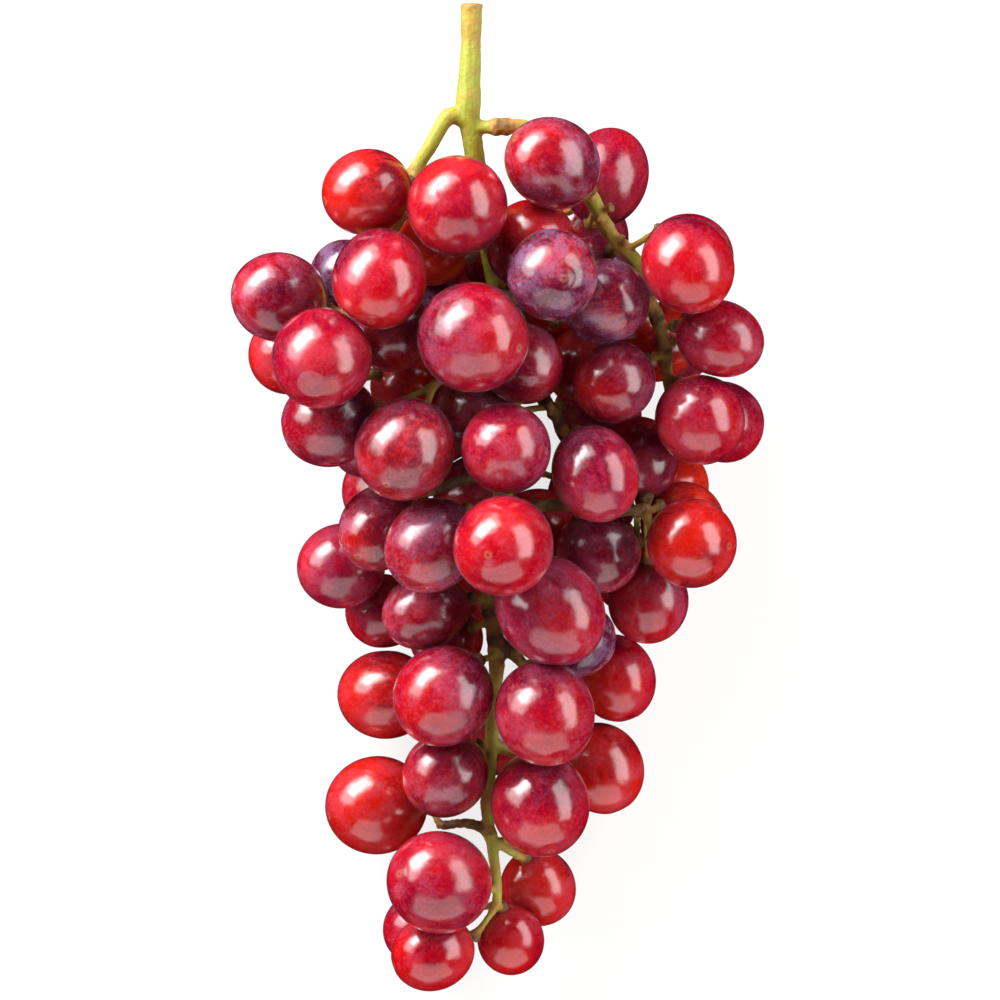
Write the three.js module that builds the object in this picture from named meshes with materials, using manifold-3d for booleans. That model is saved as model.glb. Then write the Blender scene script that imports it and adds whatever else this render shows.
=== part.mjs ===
// A bunch of red table grapes, laid on its back: the cut stalk points along +Y, the face of the bunch looks
// up along +Z, and the lowest berries rest on the surface at z = 0. All sizes are in millimetres.
import * as THREE from 'three';
import { mergeVertices } from 'three/addons/utils/BufferGeometryUtils.js';
import Module from 'manifold-3d';

const wasm = await Module();
wasm.setup();

// Driving dimensions
const pressDepth = 0.9; // how far two touching berries press into each other
const restDepth = 0.5; // how far a berry flattens where it rests on the surface
const pieceGap = 0.32; // clear space between two separate pieces
const cornerReach = 1.03; // how far the corners of a faceted berry stand out, so that its mean size is right
const linkRadius = 2.2; // neck that joins two pressed berries of one group
const linkDepth = 2.6; // how deep that neck starts inside each berry
const leastJoin = 0.6; // volume that two berries have to share to need no neck, in cubic millimetres
const stemClearance = 0.9; // space that settling keeps between a berry and a stem
const pedicelRadius = 0.75;
const receptacleRadius = 1.9;
const receptacleLength = 2.4;
const crossingCost = 8; // detour that a pedicel takes to stay 1 mm further out of a berry
const crossingLimit = 6; // past this cost a pedicel is buried among the berries and is left out
const pedicelSag = 0.35; // how much the berries hang towards the tip instead of straight out of their stem
const settleRounds = 240;
const neighbourRange = 14; // how far beyond touching a neighbour still counts while the berries settle
const homeShare = new THREE.Vector3(0.1, 0.1, 0.02); // part of the way home that a berry moves each round
const shownFreedom = new THREE.Vector3(0.12, 0.12, 1); // a shown berry settles in height and keeps its place
const hiddenFreedom = new THREE.Vector3(1, 1, 1);
const beadSpacing = 2.5; // spacing of the points that a berry keeps clear of on a stem
const groupLimit = 6; // most berries in one group
const spaceCost = 8; // how much nearer a berry has to be to join a group that it stands 1 mm off
const groupBalance = 5; // how much nearer a berry has to be to join a group that has one more
const largeBox = 60; // block used to cut a flat
const sectionSides = { rachis: 8, branch: 6, lateral: 5, shownPedicel: 4, hiddenPedicel: 3 };

// Berries of the face, region by region: x, y, height, half width, half length, and the way the far end
// points where the photograph shows it
const faceBerries = [
  // Left shoulder
  [-28.5, 67.5, 49, 9.5, 10, [-0.9, -0.2, 0.3]],
  [-26, 48.5, 58, 10.5, 11.5, [-0.15, -0.85, 0.5]],
  [-18.5, 61.5, 27, 7.5, 8],
  [-34, 50, 28, 8, 8.5],
  [-48, 44.5, 43, 10, 11, [-0.9, 0.2, 0.3]],
  [-38.5, 31, 57, 11, 11.5],
  [-46.5, 32.5, 26, 9, 9],
  [-36.5, 17.5, 40, 10, 11, [-0.96, -0.25, 0.1]],
  [-29.5, 13.5, 22, 8.5, 8.5],
  [-24, 37.5, 39, 9, 9],
  // Top
  [-9, 64, 60, 11, 12],
  [-13.5, 56.5, 37, 8.5, 9],
  [0, 52.5, 25, 8, 8],
  [-15.5, 42, 25, 9, 9],
  [12, 73.5, 54, 10, 11, [-0.75, 0.48, 0.46]],
  [23.5, 71, 29, 9.5, 11.5, [0.3, 0.9, -0.3]],
  [7, 55.5, 43, 10, 10.5],
  [19.5, 59, 13, 9.5, 10],
  [11.5, 49, 63, 10, 10, [0.25, -0.1, 0.96]],
  [23, 43.5, 49, 9.5, 10],
  [22, 50, 31, 9, 9],
  // Right shoulder
  [41, 51.5, 57, 10, 11, [0.49, -0.77, 0.41]],
  [41.5, 53.5, 34, 10, 10.5],
  [48, 35.5, 47, 8.5, 10, [0.9, -0.3, 0.3]],
  [34.5, 35, 27, 9, 9.5],
  [25.5, 26, 47, 9, 9.5],
  [19, 29.5, 28, 9, 9],
  [44, 18, 43, 10, 10],
  [49.5, 17.5, 24, 9, 9.5],
  [31, 9, 31, 9, 9.5],
  [38, 3, 12, 9, 9],
  // Middle
  [-6, 35.5, 62, 12, 12.5, [0.8, -0.2, 0.55]],
  [4.5, 30, 44, 9, 9.5],
  [-5.5, 19.5, 39, 9, 9.5],
  [-20.5, 25.5, 28, 8.5, 8.5],
  [1.5, 11, 57, 10, 10.5],
  [-20.5, 11.5, 54, 11, 12, [-0.34, -0.68, 0.65]],
  [-26, -6, 31, 9, 11, [-0.45, -0.6, 0.65]],
  [-14.5, -9.5, 46, 10, 11, [-0.61, -0.72, 0.34]],
  [1, -10, 62, 11, 12, [-0.28, -0.15, 0.95]],
  [11, -24, 47, 11.5, 13.5, [0.65, -0.65, 0.4]],
  [16.5, -31, 26, 8.5, 9],
  [21, 6, 52, 9.5, 11, [0.3, -0.85, 0.4]],
  [22, -11, 33, 9.5, 9.5],
  [33, -22, 24, 9, 9.5],
  [42, -9.5, 43, 10, 10, [0.83, -0.06, 0.55]],
  [40.5, -5, 24, 9.5, 9.5],
  // Waist
  [-16, -24.5, 34, 8.5, 10, [-0.9, -0.3, 0.2]],
  [-26, -24.5, 19, 8.5, 8.5],
  [-34.5, -14.5, 30, 9.5, 10],
  [-11.5, -31, 15, 8, 8.5],
  [-12, -43, 39, 11, 11.5, [-0.64, -0.68, 0.36]],
  [-25, -43.5, 15, 10, 11],
  [10, -46.5, 43, 11, 12, [0.25, -0.85, 0.45]],
  [26, -39.5, 12, 9, 10, [0.3, -0.9, 0.2]],
  // Tail
  [-11.5, -60.5, 29, 9.5, 10],
  [9, -67, 32, 11, 12, [0.2, -0.85, 0.45]],
  [22.5, -60, 11, 9.5, 10.5, [0.4, -0.85, 0.2]],
  [-13, -84.5, 32, 11.5, 12, [-0.75, 0.18, 0.64]],
  [-27, -68, 14, 11, 11.5, [-0.9, -0.2, 0.3]],
  [-14.5, -100.5, 20, 8.5, 9.5, [-0.9, -0.3, 0.2]],
  [-18, -96, 8, 8, 8],
  [2.5, -97.5, 17, 7.5, 8],
  [8.5, -86.5, 10, 8.5, 9],
  // Deep between the crown and the middle
  [11, 41, 25, 8, 8],
];

// Stems: points along each one, with its radius where it starts and ends
const stems = {
  rachis: {
    sides: sectionSides.rachis,
    steps: 17,
    radii: [2.6, 1.1],
    points: [
      [-6, 109.1, 44], [-6.3, 97, 43.5], [-6.8, 86, 43], [-6, 80, 42], [-5, 73.5, 40], [-2.5, 57, 36],
      [1, 37.5, 33], [3, 17.5, 28], [0, -4.5, 29], [-2, -22, 29], [-0.5, -34, 27], [-1.5, -50.5, 24],
      [-2.5, -69.5, 21], [-1.5, -77, 21], [-0.5, -86, 21], [-0.5, -90, 21],
    ],
  },
  left_shoulder: {
    sides: sectionSides.branch,
    steps: 8,
    radii: [1.9, 1.2],
    points: [
      [-6.8, 83, 43], [-11, 84.3, 44], [-15, 78, 44], [-18.5, 72, 43], [-21.5, 63, 41], [-28, 52.5, 39.5],
      [-32.5, 43, 40], [-34.5, 35, 40], [-33, 26, 37],
    ],
  },
  right_shoulder: {
    sides: sectionSides.branch,
    steps: 11,
    radii: [1.9, 1.2],
    points: [
      [-6.8, 82, 42.5], [0, 82, 43], [5.5, 82, 42], [11.5, 79, 39], [16.5, 73, 40], [20, 67, 42.5],
      [24.5, 58.5, 45], [31, 51.5, 45], [33, 44.5, 42], [36, 36.5, 40], [37, 28, 37], [38, 22, 34],
    ],
  },
  top: {
    sides: sectionSides.lateral,
    steps: 2,
    radii: [1.4, 1.1],
    points: [[-3, 61, 37], [-5, 56, 41], [-6.5, 52.5, 44]],
  },
  upper_right: {
    sides: sectionSides.lateral,
    steps: 3,
    radii: [1.4, 1.1],
    points: [[-1.5, 46, 35], [6.5, 43, 39], [13.5, 38.5, 42]],
  },
  middle_right: {
    sides: sectionSides.lateral,
    steps: 3,
    radii: [1.5, 1.1],
    points: [[1.5, 31, 31.5], [8, 24.5, 37], [12, 19.5, 42], [14, 15, 43]],
  },
  middle_left: {
    sides: sectionSides.lateral,
    steps: 3,
    radii: [1.4, 1.1],
    points: [[0.5, 38, 33], [-7.5, 31, 42], [-14.5, 25, 45]],
  },
  left_flank: {
    sides: sectionSides.lateral,
    steps: 3,
    radii: [1.4, 1.1],
    points: [[1.5, 7, 28.5], [-8, 4.5, 35], [-14, 2, 38]],
  },
  heart: {
    sides: sectionSides.lateral,
    steps: 2,
    radii: [1.3, 1.1],
    points: [[0.5, -1, 29], [1.5, -1, 37], [2.5, -2, 43]],
  },
  right_flank: {
    sides: sectionSides.lateral,
    steps: 3,
    radii: [1.5, 1.1],
    points: [[0, -3, 29], [12, -1, 36], [22, -2, 40], [32.5, -2.5, 36]],
  },
  left_waist: {
    sides: sectionSides.lateral,
    steps: 3,
    radii: [1.4, 1.1],
    points: [[-1.5, -16, 29], [-8.5, -16, 26], [-15, -16.5, 24]],
  },
  right_waist: {
    sides: sectionSides.lateral,
    steps: 3,
    radii: [1.4, 1.1],
    points: [[-1, -30, 27.5], [5, -36, 27], [12, -39, 25]],
  },
  left_tail: {
    sides: sectionSides.lateral,
    steps: 2,
    radii: [1.3, 1],
    points: [[-1, -43, 25.5], [-4, -47, 24], [-7.5, -49, 22]],
  },
  right_tail: {
    sides: sectionSides.lateral,
    steps: 2,
    radii: [1.3, 1],
    points: [[-2, -54, 23.5], [3, -56, 21.5], [8, -56, 19]],
  },
  left_tip: {
    sides: sectionSides.lateral,
    steps: 3,
    radii: [1.3, 1],
    points: [[-2.5, -73.5, 21], [-7, -72, 20], [-13, -72.5, 19]],
  },
  right_tip: {
    sides: sectionSides.lateral,
    steps: 2,
    radii: [1.2, 1],
    points: [[-1.5, -75.5, 21], [1.5, -77.5, 19.5], [4, -79, 18]],
  },
};

// Berries that the face hides: outline of the bunch as y, left edge and right edge, and the layers they lie
// in. A hidden berry is left out where another one's centre is nearer than the layer's room.
const hiddenOutline = [
  [76, -26, 26],
  [55, -50, 48],
  [30, -52, 54],
  [5, -38, 52],
  [-20, -38, 42],
  [-45, -34, 32],
  [-70, -34, 24],
  [-95, -22, 14],
];
const hiddenLayers = [
  { height: 10, inset: 13, firstRow: 70, lastRow: -90, start: 0, room: 15.5 },
  { height: 28, inset: 9, firstRow: 70, lastRow: -30, start: 0.5, room: 17.5 },
];
const hiddenRow = 17.5; // spacing of the rows along Y
const hiddenColumn = 20; // spacing of the berries in a row
const hiddenRadii = [9, 10.2];
const hiddenStretch = 1.06; // length of a hidden berry against its width
const hiddenShift = 1.5; // how far a hidden berry may stand out of its row
// Gaps that one can see through: x, y. No hidden berry stands under them.
const openGaps = [[-18.5, 77], [-0.5, 76], [-37, 61], [12, 20.5], [-2, -26.5], [0, -74]];
const openGapRadius = 9;

// Where each group of berries starts to be gathered
const groupSeeds = {
  left_shoulder: [-30, 62, 50],
  left_wing: [-44, 36, 45],
  left_wing_under: [-40, 30, 18],
  left_inner: [-20, 36, 32],
  crown: [-8, 62, 56],
  crown_under: [-4, 56, 14],
  right_crown: [22, 66, 20],
  right_inner: [20, 44, 54],
  right_wing: [44, 46, 46],
  right_wing_under: [40, 24, 14],
  right_side: [44, 14, 34],
  centre: [-4, 32, 56],
  centre_under: [2, 18, 14],
  left_side: [-22, 6, 44],
  heart: [4, -6, 58],
  heart_under: [2, -16, 12],
  right_waist: [36, -10, 32],
  left_waist: [-28, -18, 24],
  left_tail: [-18, -46, 32],
  right_tail: [14, -48, 34],
  left_tip: [-18, -78, 26],
  right_tip: [6, -90, 16],
};

// Small repeatable random numbers
function seededRandom(seed) {
  let state = seed;
  return () => {
    state = (state * 16807) % 2147483647;
    return state / 2147483647;
  };
}

const random = seededRandom(4711);
const clamp = THREE.MathUtils.clamp;
const toVector = (place) => new THREE.Vector3(...place);

// Beads along a stem: evenly spaced points with the stem's radius at each one
function stemBeads({ points, radii }) {
  const beads = [];
  const pieces = points.length - 1;
  for (let piece = 0; piece < pieces; piece += 1) {
    const from = toVector(points[piece]);
    const to = toVector(points[piece + 1]);
    const count = Math.ceil(from.distanceTo(to) / beadSpacing);
    for (let step = 0; step < count; step += 1) {
      const share = step / count;
      beads.push({
        place: from.clone().lerp(to, share),
        radius: radii[0] + ((radii[1] - radii[0]) * (piece + share)) / pieces,
      });
    }
  }
  beads.push({ place: toVector(points[pieces]), radius: radii[1] });
  return beads;
}

const beads = Object.values(stems).flatMap(stemBeads);

// Distance from a berry's centre to its surface in a direction: a spheroid, longer along its own axis
function reach(berry, direction) {
  const along = direction.dot(berry.axis);
  const lengthwise = along / berry.length;
  const crosswise = (1 - along * along) / (berry.width * berry.width);
  return 1 / Math.sqrt(lengthwise * lengthwise + crosswise);
}

// A berry hangs from the nearest bead of stem outside it, and leans towards the tip of the bunch
function hangingAxis(centre, length) {
  const outside = beads.filter((bead) => bead.place.distanceTo(centre) > length + receptacleLength);
  const nearest = outside.reduce((best, bead) => (
    bead.place.distanceTo(centre) < best.place.distanceTo(centre) ? bead : best));
  const axis = centre.clone().sub(nearest.place).normalize();
  axis.y -= pedicelSag;
  return axis.normalize();
}

// A berry with its place to return to and its long axis
function makeBerry(place, width, length, shown, farEnd) {
  const centre = toVector(place);
  return {
    centre,
    home: centre.clone(),
    width,
    length,
    axis: farEnd ? toVector(farEnd).normalize() : hangingAxis(centre, length),
    freedom: shown ? shownFreedom : hiddenFreedom,
    pedicelSides: shown ? sectionSides.shownPedicel : sectionSides.hiddenPedicel,
  };
}

// Left and right edge of the hidden berries at a place along Y
function outlineAt(y) {
  const last = hiddenOutline.length - 1;
  let row = 0;
  while (row < last - 1 && y < hiddenOutline[row + 1][0]) row += 1;
  const [startY, startLeft, startRight] = hiddenOutline[row];
  const [endY, endLeft, endRight] = hiddenOutline[row + 1];
  const share = clamp((startY - y) / (startY - endY), 0, 1);
  return [startLeft + (endLeft - startLeft) * share, startRight + (endRight - startRight) * share];
}

// Berries of the back and the inside: rows in two layers, wherever the face leaves room
function hiddenBerries(shown) {
  const placed = [];
  for (const { height, inset, firstRow, lastRow, start, room: ownRoom } of hiddenLayers) {
    let row = 0;
    for (let y = firstRow; y > lastRow; y -= hiddenRow) {
      const [left, right] = outlineAt(y);
      const first = left + inset;
      const room = right - inset - first;
      const count = Math.max(1, Math.round(room / hiddenColumn) + 1);
      const offset = (row + start) % 2 === 1 ? 0.25 : 0;
      for (let column = 0; column < count; column += 1) {
        const share = count === 1 ? 0.5 : (column + offset) / (count - 1 + 2 * offset);
        const radius = hiddenRadii[0] + (hiddenRadii[1] - hiddenRadii[0]) * random();
        const place = [
          first + room * share + hiddenShift * (2 * random() - 1),
          y + hiddenShift * (2 * random() - 1),
          height,
        ];
        const centre = toVector(place);
        const crowded = [...shown, ...placed].some((other) => other.centre.distanceTo(centre) < ownRoom);
        const open = openGaps.some(([x, gapY]) => Math.hypot(x - place[0], gapY - place[1]) < openGapRadius);
        if (!crowded && !open) placed.push(makeBerry(place, radius, radius * hiddenStretch, false));
      }
      row += 1;
    }
  }
  return placed;
}

// Moves two berries apart along the line between them, by as much as each one is free to move
function separate(first, second) {
  const line = second.centre.clone().sub(first.centre);
  const distance = line.length();
  line.divideScalar(distance);
  const need = reach(first, line) + reach(second, line) - pressDepth;
  if (distance >= need) return;
  const squared = line.clone().multiply(line);
  const give = squared.dot(first.freedom) + squared.dot(second.freedom);
  const push = (need - distance) / give;
  first.centre.addScaledVector(line.clone().multiply(first.freedom), -push);
  second.centre.addScaledVector(line.clone().multiply(second.freedom), push);
}

// Moves a berry off a stem
function clearStem(berry, bead) {
  const line = berry.centre.clone().sub(bead.place);
  const distance = line.length();
  line.divideScalar(distance);
  const need = reach(berry, line) + bead.radius + stemClearance;
  if (distance >= need) return;
  const give = line.clone().multiply(line).dot(berry.freedom);
  berry.centre.addScaledVector(line.clone().multiply(berry.freedom), (need - distance) / give);
}

const down = new THREE.Vector3(0, 0, -1);

// Settles the berries: each one stays near its place, presses on its neighbours and lies on the surface
function settle(berries) {
  const pairs = [];
  berries.forEach((berry, index) => {
    berry.beads = beads.filter((bead) => bead.place.distanceTo(berry.centre) < berry.length + neighbourRange);
    for (const other of berries.slice(index + 1)) {
      const near = berry.length + other.length + neighbourRange;
      if (other.centre.distanceTo(berry.centre) < near) pairs.push([berry, other]);
    }
  });
  for (let round = 0; round < settleRounds; round += 1) {
    for (const berry of berries) {
      const homeward = berry.home.clone().sub(berry.centre);
      berry.centre.add(homeward.multiply(homeShare));
    }
    for (const [first, second] of pairs) separate(first, second);
    for (const berry of berries) {
      for (const bead of berry.beads) clearStem(berry, bead);
      const lowest = reach(berry, down) - restDepth;
      if (berry.centre.z < lowest) berry.centre.z = lowest;
    }
  }
}

const shown = faceBerries.map(([x, y, height, width, length, farEnd]) => (
  makeBerry([x, y, height], width, length, true, farEnd)));
const berries = [...shown, ...hiddenBerries(shown)];
settle(berries);

// Space left between two berries, less than zero where they press into each other
function spaceBetween(first, second) {
  const line = second.centre.clone().sub(first.centre);
  const distance = line.length();
  line.divideScalar(distance);
  return distance - reach(first, line) - reach(second, line);
}

// Gathers the berries in groups that grow from one berry to the next one that touches it
function gather() {
  const groups = Object.entries(groupSeeds).map(([name, place]) => ({
    name, seed: toVector(place), members: [], links: [],
  }));
  const free = new Set(berries);
  for (const group of groups) {
    const first = [...free].reduce((best, berry) => (
      berry.centre.distanceTo(group.seed) < best.centre.distanceTo(group.seed) ? berry : best));
    free.delete(first);
    group.members.push(first);
  }
  while (free.size > 0) {
    let best = { cost: Infinity };
    for (const berry of free) {
      for (const group of groups) {
        if (group.members.length >= groupLimit) continue;
        for (const member of group.members) {
          const space = spaceBetween(berry, member);
          const cost = spaceCost * Math.max(space + pressDepth / 2, 0) + berry.centre.distanceTo(group.seed)
            + groupBalance * group.members.length;
          if (cost < best.cost) best = { cost, berry, group, member, space };
        }
      }
    }
    free.delete(best.berry);
    best.group.members.push(best.berry);
    best.group.links.push([best.member, best.berry, best.space]);
  }
  return groups;
}

const groups = gather();

// Solid from a closed geometry, and back
function toSolid(geometry) {
  const bare = geometry.clone();
  bare.deleteAttribute('normal');
  bare.deleteAttribute('uv');
  const merged = mergeVertices(bare, 1e-4);
  return new wasm.Manifold(new wasm.Mesh({
    numProp: 3,
    vertProperties: new Float32Array(merged.attributes.position.array),
    triVerts: new Uint32Array(merged.index.array),
  }));
}

function toGeometry(solid) {
  const mesh = solid.getMesh();
  const geometry = new THREE.BufferGeometry();
  geometry.setAttribute('position', new THREE.BufferAttribute(mesh.vertProperties, 3));
  geometry.setIndex(new THREE.BufferAttribute(mesh.triVerts, 1));
  geometry.computeVertexNormals();
  return geometry;
}

// Places a geometry made along +Z so that it starts at a point and runs in a direction
function aim(geometry, start, direction) {
  const turn = new THREE.Quaternion().setFromUnitVectors(new THREE.Vector3(0, 0, 1), direction);
  return geometry.applyQuaternion(turn).translate(start.x, start.y, start.z);
}

// One berry as a faceted spheroid, grown by an even margin
function berryGeometry(berry, margin = 0) {
  const geometry = new THREE.IcosahedronGeometry(1, 1);
  const width = berry.width * cornerReach + margin;
  const length = berry.length * cornerReach + margin;
  geometry.scale(width, width, length);
  return aim(geometry, berry.centre, berry.axis);
}

// Short neck through the pressed skins of two berries, grown by an even margin
function neckGeometry([first, second], margin = 0) {
  const line = second.centre.clone().sub(first.centre).normalize();
  const start = first.centre.clone().addScaledVector(line, reach(first, line) - linkDepth);
  const end = second.centre.clone().addScaledVector(line, linkDepth - reach(second, line));
  const length = start.distanceTo(end);
  const radius = linkRadius + margin;
  const geometry = new THREE.CylinderGeometry(radius, radius, length, 6);
  geometry.rotateX(Math.PI / 2).translate(0, 0, length / 2);
  return aim(geometry, start, line);
}

// Block that fills everything beyond a plane
function blockBeyond(point, direction) {
  const geometry = new THREE.BoxGeometry(largeBox, largeBox, largeBox);
  geometry.translate(0, 0, largeBox / 2);
  return toSolid(aim(geometry, point, direction));
}

// Cuts a berry flat where a berry of another group presses on it, and where it rests on the surface
function pressedBerry(berry, group) {
  let solid = toSolid(berryGeometry(berry));
  for (const other of berries) {
    if (other === berry || group.members.includes(other)) continue;
    const line = other.centre.clone().sub(berry.centre);
    const distance = line.length();
    line.divideScalar(distance);
    const own = reach(berry, line);
    const space = distance - cornerReach * (own + reach(other, line));
    if (space >= pieceGap) continue;
    const flat = own + (distance - own - reach(other, line)) / 2 - pieceGap / 2;
    solid = solid.subtract(blockBeyond(berry.centre.clone().addScaledVector(line, flat), line));
  }
  if (berry.centre.z < berry.length * cornerReach) {
    solid = solid.subtract(blockBeyond(new THREE.Vector3(berry.centre.x, berry.centre.y, 0), down));
  }
  return solid;
}

// Largest of the bodies that a solid falls into
function largestBody(solid) {
  return solid.decompose().reduce((best, body) => (body.volume() > best.volume() ? body : best));
}

// Berries of a group in one body, with a neck only where two linked berries don't press deep enough
function fuseGroup(group) {
  const solids = new Map(group.members.map((berry) => [berry, pressedBerry(berry, group)]));
  group.necks = group.links.filter(([first, second]) => (
    solids.get(first).intersect(solids.get(second)).volume() < leastJoin));
  const necks = group.necks.map((neck) => toSolid(neckGeometry(neck)));
  group.solid = [...solids.values(), ...necks].reduce((whole, piece) => whole.add(piece));
}

groups.forEach(fuseGroup);

// Tube along a stem's points that gets thinner towards its end
function stemGeometry({ points, radii, sides, steps }) {
  const path = new THREE.CatmullRomCurve3(points.map(toVector), false, 'catmullrom');
  const corners = Array.from({ length: sides }, (_, side) => {
    const angle = (2 * Math.PI * side) / sides;
    return new THREE.Vector2(Math.cos(angle), Math.sin(angle));
  });
  const geometry = new THREE.ExtrudeGeometry(new THREE.Shape(corners), {
    steps, extrudePath: path, bevelEnabled: false,
  });
  const centres = path.getSpacedPoints(steps);
  const places = geometry.attributes.position;
  const corner = new THREE.Vector3();
  for (let index = 0; index < places.count; index += 1) {
    corner.fromBufferAttribute(places, index);
    let ring = 0;
    centres.forEach((centre, number) => {
      if (corner.distanceTo(centre) < corner.distanceTo(centres[ring])) ring = number;
    });
    const radius = THREE.MathUtils.lerp(radii[0], radii[1], ring / steps);
    corner.sub(centres[ring]).multiplyScalar(radius).add(centres[ring]);
    places.setXYZ(index, corner.x, corner.y, corner.z);
  }
  return geometry;
}

// Bead of stem that a berry's pedicel reaches on the shortest way clear of the other berries
function pedicelRoot(berry, end) {
  const path = new THREE.Line3();
  const closest = new THREE.Vector3();
  let best = { cost: Infinity };
  for (const bead of beads) {
    path.set(bead.place, end);
    let cost = path.distance();
    for (const other of berries) {
      path.closestPointToPoint(other.centre, true, closest);
      const depth = other.width + pedicelRadius - closest.distanceTo(other.centre);
      if (depth > 0) cost += crossingCost * depth;
    }
    if (cost < best.cost) best = { cost, place: bead.place, crossing: cost - path.distance() };
  }
  return best;
}

// Pedicel of a berry: a thin stalk from its root on the stem that flares to the receptacle under the berry
function pedicelGeometry(berry) {
  const end = berry.centre.clone().addScaledVector(berry.axis, -berry.length * cornerReach - pieceGap - 0.1);
  const { place: root, crossing } = pedicelRoot(berry, end);
  if (crossing > crossingLimit) return null;
  const line = end.clone().sub(root);
  const length = line.length();
  const profile = [
    [0, 0], [pedicelRadius, 0], [pedicelRadius, Math.max(length - receptacleLength, length / 2)],
    [receptacleRadius, length], [0, length],
  ].map(([radius, height]) => new THREE.Vector2(radius, height));
  const geometry = new THREE.LatheGeometry(profile, berry.pedicelSides);
  geometry.rotateX(Math.PI / 2);
  return aim(geometry, root, line.normalize());
}

function stemSolid() {
  const tubes = Object.values(stems).map((stem) => toSolid(stemGeometry(stem)));
  const pedicels = berries.map(pedicelGeometry).filter((geometry) => geometry !== null).map(toSolid);
  const whole = [...tubes, ...pedicels].reduce((sum, piece) => sum.add(piece));
  const clearOf = [
    ...berries.map((berry) => berryGeometry(berry, pieceGap)),
    ...groups.flatMap((group) => group.necks).map((neck) => neckGeometry(neck, pieceGap)),
  ];
  return largestBody(clearOf.reduce((sum, geometry) => sum.subtract(toSolid(geometry)), whole));
}

// Colours of the skins, from bright red to dark purple, and of the green and brown stem
const skinColours = [0xb5121f, 0x9c1024, 0xc01f1c, 0x7d1528, 0xa81a2a];
const stemMaterial = new THREE.MeshStandardMaterial({ color: 0x9a8f3c, roughness: 0.75, metalness: 0 });

const bunch = new THREE.Group();

const stem = new THREE.Mesh(toGeometry(stemSolid()), stemMaterial);
stem.name = 'stem';
bunch.add(stem);

groups.forEach((group, index) => {
  const skin = new THREE.MeshStandardMaterial({
    color: skinColours[index % skinColours.length], roughness: 0.25, metalness: 0,
  });
  const mesh = new THREE.Mesh(toGeometry(group.solid), skin);
  mesh.name = `berries_${group.name}`;
  bunch.add(mesh);
});

export default bunch;
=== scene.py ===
"""A bunch of red table grapes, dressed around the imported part.

The berries settle here as they do in the part, from the same places and the same rule, and each group of
them replaces its node. The stalks follow the part's stem. Layout values are in millimetres, meshes in metres.
"""

import logging
import math
from collections.abc import Callable, Iterator
from dataclasses import dataclass, field
from enum import Enum
from functools import partial

import bpy
import numpy as np
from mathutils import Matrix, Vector
from mathutils.kdtree import KDTree


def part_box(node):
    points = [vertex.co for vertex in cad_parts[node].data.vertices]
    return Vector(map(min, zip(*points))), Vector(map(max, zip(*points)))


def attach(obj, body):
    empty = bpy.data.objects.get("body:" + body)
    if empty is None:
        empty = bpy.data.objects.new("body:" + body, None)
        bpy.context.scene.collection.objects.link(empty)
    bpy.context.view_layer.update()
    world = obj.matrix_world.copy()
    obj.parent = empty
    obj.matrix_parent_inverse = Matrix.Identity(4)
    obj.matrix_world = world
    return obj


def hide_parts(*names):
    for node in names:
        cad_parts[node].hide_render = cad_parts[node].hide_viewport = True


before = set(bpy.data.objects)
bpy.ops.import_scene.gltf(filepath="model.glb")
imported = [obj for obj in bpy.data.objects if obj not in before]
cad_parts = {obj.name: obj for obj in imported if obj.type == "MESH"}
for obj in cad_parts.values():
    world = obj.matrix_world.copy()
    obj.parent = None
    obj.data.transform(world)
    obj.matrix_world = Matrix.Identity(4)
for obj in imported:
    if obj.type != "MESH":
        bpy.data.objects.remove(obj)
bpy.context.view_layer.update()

LOG = logging.getLogger("grapes")
MM = 0.001

# How deep the berries press into each other and the surface, and their room to the stalks, in millimetres
PRESS_DEPTH = 0.9
REST_DEPTH = 0.5
STEM_CLEARANCE = 0.9
RECEPTACLE_LENGTH = 2.4
PEDICEL_RADIUS = 0.75
PIECE_GAP = 0.32
BEAD_SPACING = 2.5
# How far the corners of the part's berries stand out
CORNER_REACH = 1.03
# How the pedicels find their way round the berries, and how much they hang towards the tip
CROSSING_COST = 8
CROSSING_LIMIT = 6
PEDICEL_SAG = 0.35
# How the berries settle: the last three hold a share for each of X, Y and Z
SETTLE_ROUNDS = 240
NEIGHBOUR_RANGE = 14
HOME_SHARE = (0.1, 0.1, 0.02)
SHOWN_FREEDOM = (0.12, 0.12, 1.0)
HIDDEN_FREEDOM = (1.0, 1.0, 1.0)
# How the groups are gathered
GROUP_LIMIT = 6
SPACE_COST = 8
GROUP_BALANCE = 5
# The part's row of random numbers
RANDOM_FACTOR = 16807
RANDOM_MODULUS = 2147483647
# Radius of the berry that is copied, and how much scar a berry has where the photo shows none
MOULD_RADIUS = 10.0
FAINT_SCAR = 0.15
# X and Z of the line that the bunch grew round
BUNCH_MIDDLE = (-1.0, 26.0)

Point = tuple[float, float, float]
Piece = bpy.types.Object
Mesh = bpy.types.Mesh
Socket = bpy.types.NodeSocket
Layer = tuple[Socket, str]
AddNode = Callable[..., Socket]


class Skin(Enum):
    """Colour of a berry's skin. The first two, the brightest and most orange, are a painted glow that stands
    in for light shining through the flesh; the others show its ripeness.
    """

    # Painted glow: brighter orange skins that stand in for light shining through the flesh of berries in
    # shadow or at the edges
    CLEAR = "#D02A0A"
    GLOW = "#B4160A"
    BRIGHT = "#A60216"
    RED = "#980420"
    PINK = "#900A2C"
    CRIMSON = "#840820"
    DUSKY = "#841024"
    DARK = "#741020"
    PURPLE = "#5C1030"
    BROWN = "#701414"


@dataclass(frozen=True)
class BerryRow:
    """One berry of the face: its place, its half width and half length, its skin, which is a ripeness or a
    painted glow, its bloom and, where it shows, the way its far end points."""

    x: float
    y: float
    height: float
    width: float
    length: float
    skin: Skin
    bloom: float = 0.25
    far_end: Point | None = None


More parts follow.
